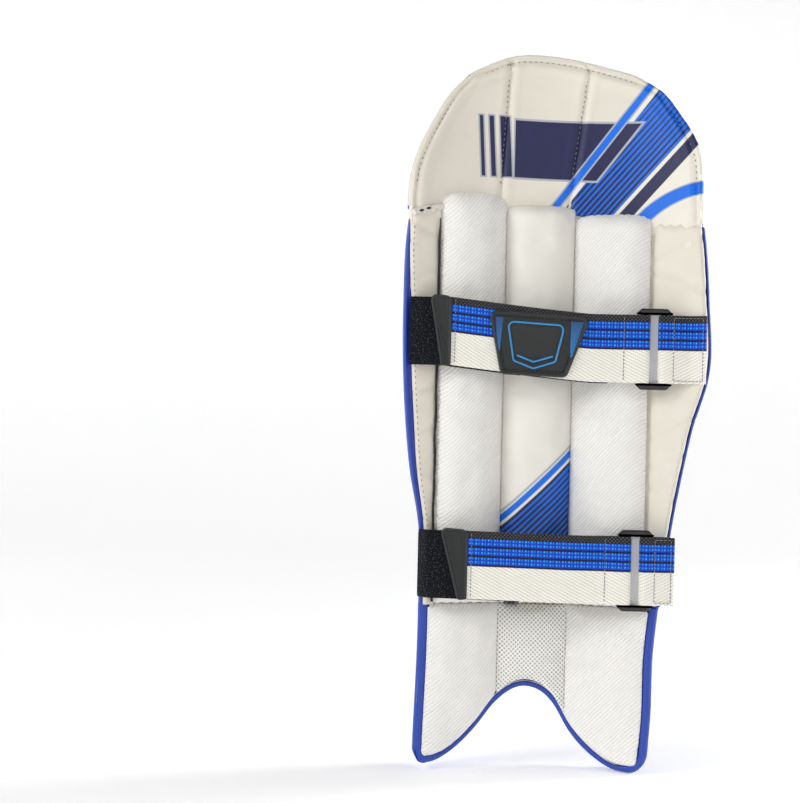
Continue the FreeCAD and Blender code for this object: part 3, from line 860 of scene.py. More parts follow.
def loop_cloth():
    """Dark brushed loop tape."""
    paint = Paint("loop_tape_cloth")
    fuzz = paint.noise(1.3, 6.0, 0.75)
    color = paint.mix(paint.map(fuzz, 0.0, 1.0), srgb(2, 2, 3), srgb(24, 25, 31))
    color = paint.mix(paint.above(paint.noise(1.5, 2.0), 0.6, 0.05), color, srgb(66, 70, 80))
    normal = paint.bump(paint.noise(3.0), 0.9, 0.9, paint.bump(fuzz, 1.2))
    return paint.finish(color, 0.98, normal, Sheen_Weight=0.06, Specular_IOR_Level=0.15)


def rubber(name, light, dark, roughness=0.55):
    """Soft moulded rubber with a fine matt texture."""
    paint = Paint(name, "object")
    color = paint.mix(paint.map(paint.noise(7.0), 0.0, 0.8), light, dark)
    # Painted highlight: the crests are lightened to grey.
    color = paint.mix(paint.map(paint.creases(), 0.0, 0.12), color, srgb(110, 114, 114))
    normal = paint.bump(paint.noise(0.45, 2.0), 0.06, 0.7)
    return paint.finish(color, roughness, normal, Specular_IOR_Level=0.4)


def badge_blue():
    """Blue that fades upwards into a darker blue."""
    paint = Paint("badge_blue_rubber", "object")
    fade = paint.map(paint.above(paint.z, 405.0, 26.0), 0.1, 1.0)
    color = paint.mix(fade, srgb(38, 140, 214), srgb(18, 62, 110))
    return paint.finish(color, 0.42, paint.bump(paint.noise(0.5), 0.05), Specular_IOR_Level=0.5)


def thread(name, color, dark):
    paint = Paint(name, "object")
    tint = paint.mix(paint.noise(1.4), color, dark)
    return paint.finish(tint, 0.7, paint.bump(paint.stripes(paint.add(paint.x, paint.z), 0.5), 0.06))


def glossy_plastic():
    paint = Paint("ring_plastic_gloss", "object")
    color = paint.mix(paint.map(paint.noise(14.0), 0.0, 0.5), srgb(14, 15, 18), srgb(26, 27, 31))
    rough = paint.map(paint.noise(5.0), 0.12, 0.24)
    return paint.finish(color, rough, paint.bump(paint.noise(3.0), 0.04), Specular_IOR_Level=0.6)


def closed_foam(name, color, dark):
    paint = Paint(name, "object")
    pores = paint.cells(1.6)
    tint = paint.mix(paint.map(pores, 0.0, 0.5), color, dark)
    return paint.finish(tint, 0.9, paint.bump(pores, 0.35))


def cane_wood():
    paint = Paint("cane_rod_wood", "object")
    along = paint.tree.nodes.new("ShaderNodeCombineXYZ")
    for socket, value in zip(along.inputs, (paint.x, paint.y, paint.times(paint.z, 0.05))):
        paint.put(socket, value)
    fibre = paint.noise(0.9, 4.0, 0.6, along.outputs[0])
    tint = paint.mix(fibre, srgb(214, 180, 120), srgb(150, 112, 62))
    return paint.finish(tint, 0.5, paint.bump(fibre, 0.12), Specular_IOR_Level=0.45)


def fibre_board():
    paint = Paint("stiffener_fibre_board", "object")
    speck = paint.noise(1.2, 5.0, 0.7)
    tint = paint.mix(speck, srgb(120, 104, 84), srgb(74, 62, 50))
    return paint.finish(tint, 0.8, paint.bump(speck, 0.15))


def floor_paint():
    paint = Paint("floor_paper", "object")
    tint = paint.mix(paint.map(paint.noise(400.0), 0.0, 0.3), srgb(250, 250, 250), srgb(246, 246, 246))
    return paint.finish(tint, 0.9, paint.bump(paint.noise(1.5), 0.02), Emission_Color=(1.0, 1.0, 1.0, 1.0),
                        Emission_Strength=0.27)


M = {
    "blue": blue_cover(),
    "cream": cream_cover(),
    "mesh": mesh_cloth(),
    "coarse": coarse_mesh(),
    "fold": fold_cloth(),
    "flap_print": printed_flap(),
    "bolster_print": printed_bolster(),
    "webbing": webbing_cloth(),
    "backing": hook_backing(),
    "tape": twill_tape(),
    "loop": loop_cloth(),
    "rubber": rubber("pull_tab_rubber", srgb(28, 30, 30), srgb(18, 20, 20)),
    "badge": rubber("badge_rubber", srgb(30, 32, 32), srgb(20, 22, 22)),
    "badge_blue": badge_blue(),
    "emblem": rubber("emblem_blue_rubber", srgb(40, 156, 226), srgb(24, 132, 204), 0.4),
    "piping": rubber("piping_cloth", srgb(13, 13, 15), srgb(6, 6, 7), 0.8),
    "pale_thread": thread("pale_thread", srgb(226, 224, 218), srgb(196, 193, 186)),
    "grey_thread": thread("grey_thread", srgb(150, 150, 152), srgb(116, 116, 120)),
    "blue_thread": thread("blue_thread", srgb(14, 26, 92), srgb(6, 12, 60)),
    "dark_thread": thread("dark_thread", srgb(7, 7, 9), srgb(3, 3, 4)),
    "ring": glossy_plastic(),
    "foam": closed_foam("foam_closed_cell", srgb(232, 230, 222), srgb(190, 188, 178)),
    "filling": closed_foam("foam_filling", srgb(240, 238, 230), srgb(206, 203, 192)),
    "cane": cane_wood(),
    "board": fibre_board(),
    "floor": floor_paint(),
}


# ---------------------------------------------------------------- blue front

def wrapped(depth, distance, middle=EDGE_MIDDLE, radius=11.0):
    """Rounds a surface down to the middle of the edge over a distance from it."""
    return middle + (depth - middle) * ease(distance, radius)


def edge_back(distance, inside=FOAM_FRONT, middle=EDGE_MIDDLE, rear=LINING, reach=3.5):
    """The hidden side of an outer panel: round the foam's edge, and in front of the foam further in."""
    rim = middle + (rear - middle) * ease(distance, 3.2)
    return rim + (inside - rim) * step_up(distance, reach, reach + 0.9)


def puckers(g, seed, reach=5.5, size=9.0, height=0.85):
    """Small gathers beside the seams, uneven along them."""
    left = wave(g.z, seed, size) * np.exp(-g.left / reach)
    right = wave(g.z, seed + 5.0, size * 1.2) * np.exp(-g.right / reach)
    return height * (left + right)


def stuffed(g, seed, rise, radius, seam=SEAM_DEPTH, soft=0.55, top=22.0, bottom=16.0):
    """The outer face of a stuffed channel."""
    lift = swell(g.seam, radius)
    depth = seam + rise * lift
    depth = depth + soft * wobble(g.x, g.z, seed, 70.0) * lift
    depth = depth + puckers(g, seed)
    ends = ease(g.top + 1.5, top) * (0.55 + 0.45 * ease(g.bottom, bottom))
    return seam - 1.0 + (depth - seam + 1.0) * ends


def front_rolls():
    """The stuffed rolls and the centre panel of the shin, between the sewn seams."""
    inner_medial, inner_lateral = seam_x(FRONT_SEAMS[2]), seam_x(FRONT_SEAMS[3])
    lines = [seam_x(u) for u in FRONT_SEAMS] + [seam_x(WING_SEAM - 0.5)]
    names = ("front_outer_roll_medial", "front_inner_roll_medial", None,
             "front_inner_roll_lateral", "front_outer_roll_lateral", "front_ridge_lateral")
    rises = (10.0, 12.5, 0.0, 12.5, 10.5, 6.5)
    for i, (name, rise) in enumerate(zip(names, rises)):
        if name is None:
            continue

        def right(z, limit=lines[i + 1], last=name == "front_ridge_lateral"):
            return np.minimum(limit(z), lateral_x(z)) if last else limit(z)

        def front(g, seed=i * 3.1 + 1.0, rise=rise):
            depth = stuffed(g, seed, rise, min(15.0, float(np.median(g.wide)) * 0.5))
            knuckle = 1.0 - step_up(g.top + 0.25 * (g.left - g.right), 31.0, 43.0)
            depth = depth + 3.0 * knuckle * swell(g.seam, 11.0) * ease(g.top, 14.0)
            crease = np.exp(-((g.z - 158.0 - 0.12 * g.x) / 3.5) ** 2)
            crease = crease + 0.6 * np.exp(-((g.z - 166.0) / 3.0) ** 2)
            depth = depth - 0.9 * crease * step_up(abs(g.x), 45.0, 60.0) * (g.x < 0)
            return wrapped(depth, g.bottom, 9.0, 12.0)

        obj = panel(name + "_cover", (lines[i], right, foot_z, shin_arch), front,
                    lambda g: edge_back(g.bottom, middle=9.0, rear=5.0), M["blue"], "shin_guard")
        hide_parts(name)

    def cross(x):
        return np.full_like(np.asarray(x, float), CROSS_SEAM_Z)

    def upper(g):
        depth = stuffed(g, 2.2, 9.5, 17.0, soft=0.4)
        depth = depth + 1.2 * np.sin(math.pi * g.s)
        pull = wave(g.x, 4.0, 11.0) * np.exp(-g.bottom / 7.0)
        return SEAM_DEPTH - 1.0 + (depth - SEAM_DEPTH + 1.0) * ease(g.bottom, 10.0) + 0.6 * pull

    def lower(g):
        depth = stuffed(g, 7.4, 8.0, 17.0, soft=0.6, top=12.0)
        pull = wave(g.x, 9.0, 12.0) * np.exp(-g.top / 7.0)
        groove = np.exp(-((g.z - 146.0) / 1.6) ** 2) * 1.3
        return wrapped(depth + 0.6 * pull - groove, g.bottom, 9.0, 12.0)

    obj = panel("front_center_upper_cover", (inner_medial, inner_lateral, cross, shin_arch), upper,
                lambda g: np.full_like(g.x, FOAM_FRONT), M["blue"], "shin_guard")
    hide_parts("front_center_upper")
    obj = panel("front_center_lower_cover", (inner_medial, inner_lateral, foot_z, cross), lower,
                lambda g: edge_back(g.bottom, middle=9.0, rear=5.0), M["blue"], "shin_guard")
    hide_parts("front_center_lower")


def front_edge_roll():
    """The medial side of the shin, which turns round the foam to the back."""
    right = seam_x(FRONT_SEAMS[0])

    def front(g):
        depth = SEAM_DEPTH + 6.5 * ease(g.right, 9.0) + puckers(g, 8.8, height=0.4)
        depth = depth + 0.5 * wobble(g.x, g.z, 6.0, 55.0)
        for notch in (457.0, 322.0):
            depth = depth - 2.0 * np.exp(-((g.z - notch - 0.3 * (g.x + 110)) / 3.0) ** 2)
        depth = SEAM_DEPTH - 1.0 + (depth - SEAM_DEPTH + 1.0) * ease(g.top + 1.5, 18.0)
        return wrapped(depth, np.minimum(g.left, g.bottom + 0.6))

    def back(g):
        turned = edge_back(g.left, rear=LINING - 0.8, reach=blue_turn(g.z) + 2.0)
        return np.where(g.bottom < 140.0, edge_back(np.minimum(g.left, g.bottom + 0.6)), turned)

    obj = panel("front_edge_roll_cover", (medial_x, right, foot_z, shin_arch), front, back, M["blue"],
                "shin_guard")
    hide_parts("front_edge_roll")


def wing_front():
    """Four blue panels of the side wing, with slanted cross seams between them."""
    left = seam_x(WING_SEAM + 0.4)
    seams = ((None, None), (449.0, 400.0), (315.0, 352.0), (252.0, 282.0), (None, None))
    names = ("wing_front_upper", "wing_front_middle", "wing_front_lower", "wing_front_foot")

    def slanted(pair):
        return lambda x: pair[0] + (pair[1] - pair[0]) * (np.asarray(x, float) - 116.0) / 44.0

    def wing_foot(x):
        return np.full_like(np.asarray(x, float), 160.0)

    for i, name in enumerate(names):
        top = shin_arch if i == 0 else slanted(seams[i])
        bottom = wing_foot if i == 3 else slanted(seams[i + 1])

        def front(g, seed=i * 2.3 + 0.7, last=i == 3):
            depth = SEAM_DEPTH + 7.0 * ease(g.left, 10.0) + puckers(g, seed, height=0.35)
            depth = depth + 0.6 * wobble(g.x, g.z, seed, 50.0)
            sewn = ease(g.top + 0.8, 12.0) * (ease(g.bottom, 9.0) if last else ease(g.bottom + 0.8, 12.0))
            depth = SEAM_DEPTH - 0.5 + (depth - SEAM_DEPTH + 0.5) * sewn
            return wrapped(depth, g.right)

        obj = panel(name + "_cover", (left, wing_x, bottom, top), front, lambda g: edge_back(g.right),
                    M["blue"],
                    "side_wing")
        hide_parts(name)


# The knee flap's front seams, each as x at z 700 and at z 500
FLAP_SEAMS = ((-44.0, -117.0), (-44.0, -58.0), (-30.0, -46.0), (45.0, 38.0), (59.0, 51.0), (59.0, 122.0))


def meeting_height(left, right, z_low, z_high):
    """The height at which two sides of a panel come together."""
    z = np.linspace(z_low, z_high, 400)
    return float(z[np.argmax(right(z) - left(z) < 0.3)])


def flap_front():
    """Seven blue panels of the knee flap."""
    names = ("flap_edge_medial", "flap_side_medial", "flap_ridge_medial", "flap_center",
             "flap_ridge_lateral", "flap_side_lateral", "flap_edge_lateral")
    rises = (5.0, 5.5, 8.5, 6.5, 8.5, 5.5, 5.0)
    lines = [flap_medial_x] + [between(low, high, 700.0, 500.0) for low, high in FLAP_SEAMS]
    lines.append(flap_lateral_x)
    for i, (name, rise) in enumerate(zip(names, rises)):
        on_rim = i in (0, 6)
        left, right = lines[i], lines[i + 1]
        top = flap_top_z
        if on_rim:
            meet = meeting_height(left, right, 600.0, 690.0)
            top = (lambda x, z=meet: np.full_like(np.asarray(x, float), z))

        def front(g, seed=i * 1.9 + 0.3, rise=rise, i=i):
            rim = g.left if i == 0 else g.right
            seam = g.right if i == 0 else g.left
            if i in (0, 6):
                depth = 14.6 + rise * ease(seam, 8.0)
                depth = depth + 0.35 * wobble(g.x, g.z, seed, 45.0)
                depth = 13.2 + (depth - 13.2) * ease(g.bottom + 0.6, 10.0)
                return wrapped(depth, rim, 6.5, 9.0)
            depth = 14.6 + rise * ease(g.seam, min(9.0, float(np.median(g.wide)) * 0.5))
            depth = depth + 0.35 * wobble(g.x, g.z, seed, 50.0) + puckers(g, seed, 4.0, 8.0, 0.3)
            depth = 13.2 + (depth - 13.2) * ease(g.bottom + 0.6, 10.0)
            return wrapped(depth, g.top, 6.5, 9.0)

        def back(g, i=i):
            rim = {0: g.left, 6: g.right}.get(i, g.top)
            return edge_back(rim, inside=13.7, middle=6.5, rear=3.0)

        obj = panel(name + "_cover", (left, right, flap_arch, top), front, back, M["blue"], "knee_flap",
                    step=2.5)
        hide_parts(name)


# ---------------------------------------------------------------- cream back

def inside_of(edge, amount):
    return lambda v: edge(v) + amount


LINING_SEAMS = ((-30.0, -42.0), (48.0, 22.0))


def lining_rear(g, i, seed, below=0.0):
    """The leg side of a lining panel; below is how far the top border lies above the piece."""
    top = g.top + below
    rim = top if i == 1 else np.minimum(top, g.left if i == 0 else g.right)
    seam = {0: g.right, 1: g.seam, 2: g.left}[i]
    swollen = 4.2 * ease(rim, 3.5) - 1.6 * np.exp(-((rim - 6.5) / 1.5) ** 2)
    swollen = swollen + 1.8 * step_up(rim, 7.0, 11.0) - 1.9 * step_up(rim, 14.0, 21.0)
    sewn = 2.7 * np.exp(-(seam / 2.6) ** 1.5) - 0.7 * np.exp(-((seam - 7.0) / 3.5) ** 2)
    strength = 0.35 + 1.0 * np.exp(-top / 40.0)
    gather = wave(g.z, seed, 8.0) * np.exp(-seam / 5.0) * strength
    folds = np.exp(-((g.x - g.z * 0.5 + 300.0 - seed * 9.0) / 5.0) ** 2) * np.exp(-top / 25.0)
    depth = 0.5 - swollen + sewn + 1.1 * gather + 0.45 * wobble(g.x, g.z, seed, 60.0) * ease(rim, 12.0)
    depth = depth + 0.35 * wave(g.x + g.z * 0.3, seed, 8.0) * np.exp(-rim / 4.0) + 0.8 * folds
    return 5.0 + (depth - 5.0) * ease(rim, 4.0)


def flap_lining():
    """Three printed panels of the knee flap, and the cloth that carries them down behind the bolster."""
    lines = [inside_of(flap_medial_x, 1.2)]
    lines += [between(low, high, 700.0, 500.0) for low, high in LINING_SEAMS]
    lines.append(inside_of(flap_lateral_x, -1.2))
    top = inside_of(flap_top_z, -1.2)
    for i, part in enumerate(("medial", "middle", "lateral")):

        def rear(g, seed=i * 2.7 + 0.4, i=i):
            return lining_rear(g, i, seed)

        def under(g, i=i):
            rim = g.top if i == 1 else np.minimum(g.top, g.left if i == 0 else g.right)
            return 5.0 - 4.8 * step_up(rim, 3.2, 4.6)

        obj = panel("flap_lining_" + part + "_cloth", (lines[i], lines[i + 1], flap_arch, top), rear, under,
                    M["flap_print"], "knee_flap", step=2.5)
        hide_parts("flap_lining_" + part)

        def fold_low(x):
            return flap_arch(x) - 30.0

        def fold_rear(g, seed=i * 2.7 + 0.4, i=i):
            return lining_rear(g, i, seed, 90.0)

        def fold_under(g, i=i):
            rim = 9.0 + 0.0 * g.x if i == 1 else g.left if i == 0 else g.right
            return 5.0 - 4.8 * step_up(rim, 3.2, 4.6)

        obj = panel("knee_fold_back_" + part, (lines[i], lines[i + 1], fold_low, flap_arch), fold_rear,
                    fold_under,
                    M["flap_print"], None, step=2.5)
        fold_blend(obj)


def fold_blend(obj):
    """Bakes the placement of a piece at the knee fold into its mesh."""
    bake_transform(obj)


def channel_rear(g, seed, full, radius, seam=-6.0, gathers=0.8, top=17.0, bottom=10.0, soft=1.3):
    """The leg side of a stuffed channel; depths run negative towards the leg."""
    lift = swell(g.seam, radius)
    ends = ease(g.top, top) * ease(g.bottom + 0.5, bottom)
    depth = seam + (full - seam) * lift
    depth = depth + soft * wobble(g.x, g.z, seed, 80.0) * lift
    depth = depth + gathers * wave(g.z, seed, 12.0) * np.exp(-g.seam / 6.0)
    folds = wave(g.x, seed + 2.0, 10.0)
    depth = depth + gathers * folds * (np.exp(-g.top / 9.0) + 0.7 * np.exp(-g.bottom / 7.0))
    return LINING + (depth - LINING) * ends


def rear_u(u, depth=-8.0):
    return seam_x(u, depth)


def filling(name, sides, rear):
    """The foam inside a channel, a cloth's thickness smaller than its cover."""
    left, right, lower, upper = sides

    def core(g):
        return np.minimum(rear(g) + 1.6, LINING - 0.4)

    shrunk = (inside_of(left, 1.4), inside_of(right, -1.4), inside_of(lower, 1.6), inside_of(upper, -1.6))
    return panel(name, shrunk, core, lambda g: np.full_like(g.x, LINING - 0.3), M["filling"], "shin_guard",
                 step=5.0)


def bolster():
    """Three stuffed channels against the shin: mesh, smooth print, mesh."""
    spans = (
        ("bolster_cover_medial", BOLSTER_MEDIAL, -CHANNEL_SEAM, 551.0, 7.0, "mesh", "mesh_cloth", 27.0),
        ("bolster_cover_middle", -CHANNEL_SEAM, CHANNEL_SEAM, 541.0, 3.0, "bolster_print", "printed_cover",
         14.0),
        ("bolster_cover_lateral", CHANNEL_SEAM, WING_SEAM - 0.5, 533.0, 5.0, "mesh", "mesh_cloth", 17.0),
    )
    for i, (name, low, high, top, crown, paint, slot, end) in enumerate(spans):
        left, right = rear_u(low), rear_u(high)
        middle = 0.5 * (float(left(0)) + float(right(0)))
        half = 0.5 * (float(right(0)) - float(left(0)))

        def upper(x, top=top, crown=crown, middle=middle, half=half):
            share = np.clip(np.abs((np.asarray(x, float) - middle) / half), 0, 1)
            return top - crown * share ** 4 - 0.5 * np.sin(np.asarray(x, float) * 0.9)

        def lower(x):
            x = np.asarray(x, float)
            return np.full_like(x, BOLSTER_BOTTOM) + 0.6 * np.sin(x * 0.7)

        def rear(g, seed=i * 3.3 + 1.2, end=end):
            return channel_rear(g, seed, -23.0, 25.0, top=end, bottom=11.0)

        obj = panel(name + "_cloth", (left, right, lower, upper), rear,
                    lambda g: np.full_like(g.x, LINING - 0.1),
                    M[paint], "shin_guard")
        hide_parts(name)
        inside = filling(name.replace("cover", "foam"), (left, right, lower, upper), rear)
        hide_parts("bolster_filling")


def lower_pads():
    """Three mesh channels behind the instep and the feet."""
    outer_medial = inside_of(medial_x, 9.0)
    outer_lateral = inside_of(lateral_x, -9.5)
    spans = (
        ("lower_mesh_medial", outer_medial, rear_u(-CHANNEL_SEAM), "mesh"),
        ("lower_mesh_middle", rear_u(-CHANNEL_SEAM), rear_u(CHANNEL_SEAM), "coarse"),
        ("lower_mesh_lateral", rear_u(CHANNEL_SEAM), outer_lateral, "mesh"),
    )
    for i, (name, left, right, paint) in enumerate(spans):

        def upper(x):
            return np.full_like(np.asarray(x, float), BOLSTER_BOTTOM - 0.5)

        def rear(g, seed=i * 2.1 + 4.0, paint=paint):
            return channel_rear(g, seed, -13.5, 22.0, seam=-4.5, gathers=0.6, top=12.0, bottom=9.0, soft=0.8)

        obj = panel(name + "_cloth", (left, right, inside_of(foot_z, 7.0), upper), rear,
                    lambda g: np.full_like(g.x, LINING - 0.1), M[paint], "shin_guard")
        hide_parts(name)
        inside = filling(name.replace("mesh", "foam"), (left, right, inside_of(foot_z, 7.0), upper), rear)
        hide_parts("lower_filling")


def facings():
    """Cream strips beside the bolster: on the shin's medial edge, and inside the wing."""
    def medial_top(x):
        return 528.5 + 0.25 * (np.asarray(x, float) + 123.0) + 0.9 * np.sin(np.asarray(x, float) * 0.8)

    def medial_low(x):
        return np.full_like(np.asarray(x, float), 157.0)

    def medial_rear(g):
        depth = LINING - 5.0 * ease(g.left, 6.0) * ease(g.top + 1.0, 9.0)
        folds = np.zeros_like(g.z)
        for z, lean, size in ((512.0, -0.45, 1.9), (494.0, -0.5, 1.7), (470.0, 0.3, 2.4), (361.0, 0.35, 2.2),
                              (322.0, 0.3, 2.4), (283.0, -0.4, 2.2), (240.0, -0.3, 2.4)):
            folds = folds + np.exp(-((g.z - z - lean * (g.x + 110.0)) / size) ** 2)
        depth = depth + 1.5 * folds + 0.5 * wobble(g.x, g.z, 3.0, 40.0)
        return np.where(g.left < 0.01, LINING, depth + 0.4 * wave(g.z, 2.0, 9.0) * np.exp(-g.left / 4.0))

    def medial_left(z):
        return medial_x(z) + blue_turn(z)

    obj = panel("medial_facing_cloth", (medial_left, rear_u(BOLSTER_MEDIAL - 0.3), medial_low, medial_top),
                medial_rear,
                lambda g: np.full_like(g.x, LINING + 0.2), M["cream"], "shin_guard")
    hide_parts("medial_facing")

    def wing_top(x):
        x = np.asarray(x, float)
        return 522.0 - 3.0 * ((x - 104.0) / 45.0) + 1.3 * np.sin(x * 0.75)

    def wing_low(x):
        return np.full_like(np.asarray(x, float), 161.0)

    def wing_rear(g):
        depth = LINING - 5.0 * ease(g.right, 6.0) * ease(g.top + 1.0, 10.0) * ease(g.left + 0.6, 8.0)
        folds = np.zeros_like(g.z)
        for z, lean, size in ((497.0, 0.5, 3.2), (468.0, -0.4, 2.6), (330.0, 0.55, 3.0), (300.0, 0.4, 2.4),
                              (262.0, -0.5, 3.0)):
            folds = folds + np.exp(-((g.z - z - lean * (g.x - 125.0)) / size) ** 2)
        depth = depth + 1.9 * folds + 0.9 * wobble(g.x, g.z, 5.0, 34.0)
        return depth + 0.4 * wave(g.z, 6.0, 9.0) * np.exp(-g.right / 4.0)

    obj = panel("wing_facing_cloth",
                (rear_u(WING_SEAM + 0.4, -4.0), inside_of(wing_x, -4.2), wing_low, wing_top),
                wing_rear, lambda g: np.full_like(g.x, -0.2), M["cream"], "side_wing")
    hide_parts("wing_facing")


def foot_path(inset=0.0, steps=150):
    """Points (x, z) along the feet and the instep arch, from the medial side to the lateral side."""
    z_low = np.linspace(BOLSTER_BOTTOM, 22.0, 24)
    medial = np.stack([medial_x(z_low), z_low], axis=-1)
    x = np.linspace(-112.0, 112.5, steps)
    foot = np.stack([x, foot_z(x)], axis=-1)
    lateral = np.stack([lateral_x(z_low[::-1]), z_low[::-1]], axis=-1)
    path = np.concatenate([medial, foot, lateral])
    keep = np.concatenate([[True], np.linalg.norm(np.diff(path, axis=0), axis=1) > 0.4])
    path = path[keep]
    for _ in range(4):
        path[1:-1] = 0.25 * path[:-2] + 0.5 * path[1:-1] + 0.25 * path[2:]
    tangent = np.gradient(path, axis=0)
    tangent /= np.linalg.norm(tangent, axis=1)[:, None]
    normal = np.stack([-tangent[:, 1], tangent[:, 0]], axis=-1)
    return path + inset * normal


def edge_binding():
    """A padded blue binding round the feet and the arch, and a thin black cord inside it."""
    edge = foot_path(0.0)
    inwards = foot_path(1.0) - edge
    half = 3.3 + 1.6 * step_up(np.abs(edge[:, 0]), 80.0, 100.0)
    path = edge + inwards * (half - 0.2)[:, None]
    points = on_shell(path[:, 0], 1.3 + 0.2 * wave(path[:, 0] + path[:, 1], 1.0, 14.0), path[:, 1])
    obj = tube("edge_binding_roll", points, half, M["blue"], "shin_guard", sides=16, flat=1.2)
    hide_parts("edge_binding")
    z = np.linspace(8.0, 161.0, 50)
    side = on_shell(lateral_x(z) - 2.9, 10.4, z)
    obj = tube("lateral_side_roll", side, 3.1 * ease(z - 5.0, 9.0), M["blue"], "shin_guard", sides=14)
    path = edge + inwards * (2.0 * half + 0.1)[:, None]
    cord = on_shell(path[:, 0], -3.4, path[:, 1])
    tube("lower_edge_cord", cord, 1.0, M["piping"], "shin_guard", sides=8)


def bolster_piping():
    z = np.linspace(BOLSTER_BOTTOM + 2.0, 523.5, 150)
    x = rear_u(BOLSTER_MEDIAL - 1.6)(z) + 0.5 * wave(z, 2.0, 60.0)
    obj = tube("bolster_piping_cord", on_shell(x, -8.6 + 0.4 * wave(z, 3.0, 40.0), z),
               (1.2 + 0.12 * wave(z, 1.0, 3.2)) * (1.0 - 0.5 * step_up(z, 500.0, 523.0)), M["piping"],
               "shin_guard", sides=10)
    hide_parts("bolster_piping")


# ---------------------------------------------------------------- folds at the knee

def knee_folds():
    """Gathered blue cloth across the front of the knee fold, from the shin to the flap."""
    for part, x_low, x_high in (("medial", -126.0, -42.0), ("middle", -42.0, 42.0), ("lateral", 42.0, 147.0)):
        x, t = np.meshgrid(np.linspace(x_low, x_high, int((x_high - x_low) / 2.0) + 2), np.linspace(0, 1, 13))
        z = shin_arch(x) - 8.0 + (flap_arch(x) - shin_arch(x) + 16.0) * t
        dip = np.sin(math.pi * t) ** 2
        outer = 14.5 - 3.0 * dip + 0.7 * wave(x, 1.5, 7.0) * dip
        uv = np.stack([x, z], axis=-1) * MM
        obj = patch("knee_fold_front_" + part, on_shell(x, outer, z), on_shell(x, outer - 6.0, z), uv,
                    M["blue"],
                    None)
        fold_blend(obj)


def gathered_seam():
    """The drawn-up seam where the flap lining meets the medial facing."""
    x = np.linspace(-123.0, -88.0, 90)
    z = 528.0 + 0.27 * (x + 123.0) + 1.2 * wave(x, 2.0, 9.0)
    points = on_shell(x, -5.4 + 1.0 * wave(x, 5.0, 7.0), z)
    obj = tube("medial_gather_roll", points, 3.0 + 1.1 * wave(x, 1.0, 7.0), M["fold"], "shin_guard", sides=16)
    for i, (gap_x, gap_z) in enumerate(((-115.5, 529.3), (-109.0, 532.0))):
        x = np.linspace(gap_x - 2.0, gap_x + 2.0, 7)
        points = on_shell(x, -8.4, gap_z + 0.3 * (x - gap_x))
        tube("medial_gather_gap_" + str(i + 1), points, 1.25 * np.sin(np.linspace(0.5, math.pi - 0.5, 7)),
             M["blue_thread"], "shin_guard", sides=8)


def wing_joint():
    """Strips of cloth across the fold between the shin and the wing, in front and behind."""
    for name, low, high, outer, inner, key, slot in (
            ("wing_fold_front", 111.0, 118.0, 14.4, 11.8, "blue", "blue_cover"),
            ("wing_fold_back", 99.5, 108.0, -3.0, -0.6, "fold", "cream_cover")):
        left = seam_x(low - 0.496 * outer, outer)
        right = seam_x(high - 0.496 * outer, outer)

        def bottom(x):
            return np.full_like(np.asarray(x, float), 161.0)

        obj = panel(name + "_cloth", (left, right, bottom, inside_of(shin_arch, -4.0)),
                    lambda g, outer=outer: outer + 0.3 * wave(g.z, 3.0, 9.0),
                    lambda g, inner=inner: np.full_like(g.x, inner), M[key], None)
        float(left(300.0)) * MM
        float(right(300.0)) * MM
        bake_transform(obj)

    def under(x):
        return np.full_like(np.asarray(x, float), 157.6)

    def over(x):
        return np.full_like(np.asarray(x, float), 161.5)

    obj = panel("wing_foot_cap", (seam_x(WING_SEAM + 1.0, 9.0), inside_of(wing_x, -0.6), under, over),
                lambda g: 7.0 + 8.4 * ease(np.minimum(g.right, 9.0 * g.bottom / 3.0 + 3.0), 8.0),
                lambda g: 7.0 - 8.6 * ease(np.minimum(g.right, 9.0 * g.bottom / 3.0 + 3.0), 5.0), M["blue"],
                "side_wing")


# ---------------------------------------------------------------- straps, rings and tapes

def bend_path(bar_x, tail, turn):
    """Webbing round a ring bar: along the outside, round the bar, and back inside to the stitching.

    turn is 1 where the tail points to -X, and -1 where it points to +X."""
    angle = np.radians(np.linspace(-90.0, 90.0, 15))
    round_bar = np.stack([bar_x + turn * 4.4 * np.cos(angle), STRAP_Y + 4.4 * np.sin(angle)], axis=-1)
    back = np.stack([bar_x - turn * np.linspace(4.0, STITCH_REACH if turn > 0 else ANCHOR_REACH - 2.0, 8),
                     STRAP_Y + np.linspace(4.2, 1.7, 8)], axis=-1)
    return np.concatenate([tail, round_bar, back])


def strap_rise_at(x, rise_from, end_x, end_rise):
    """How far the strap has risen at x, on its way to its free end."""
    return end_rise * np.clip((rise_from - x) / (rise_from - end_x), 0, 1.3) ** 1.15


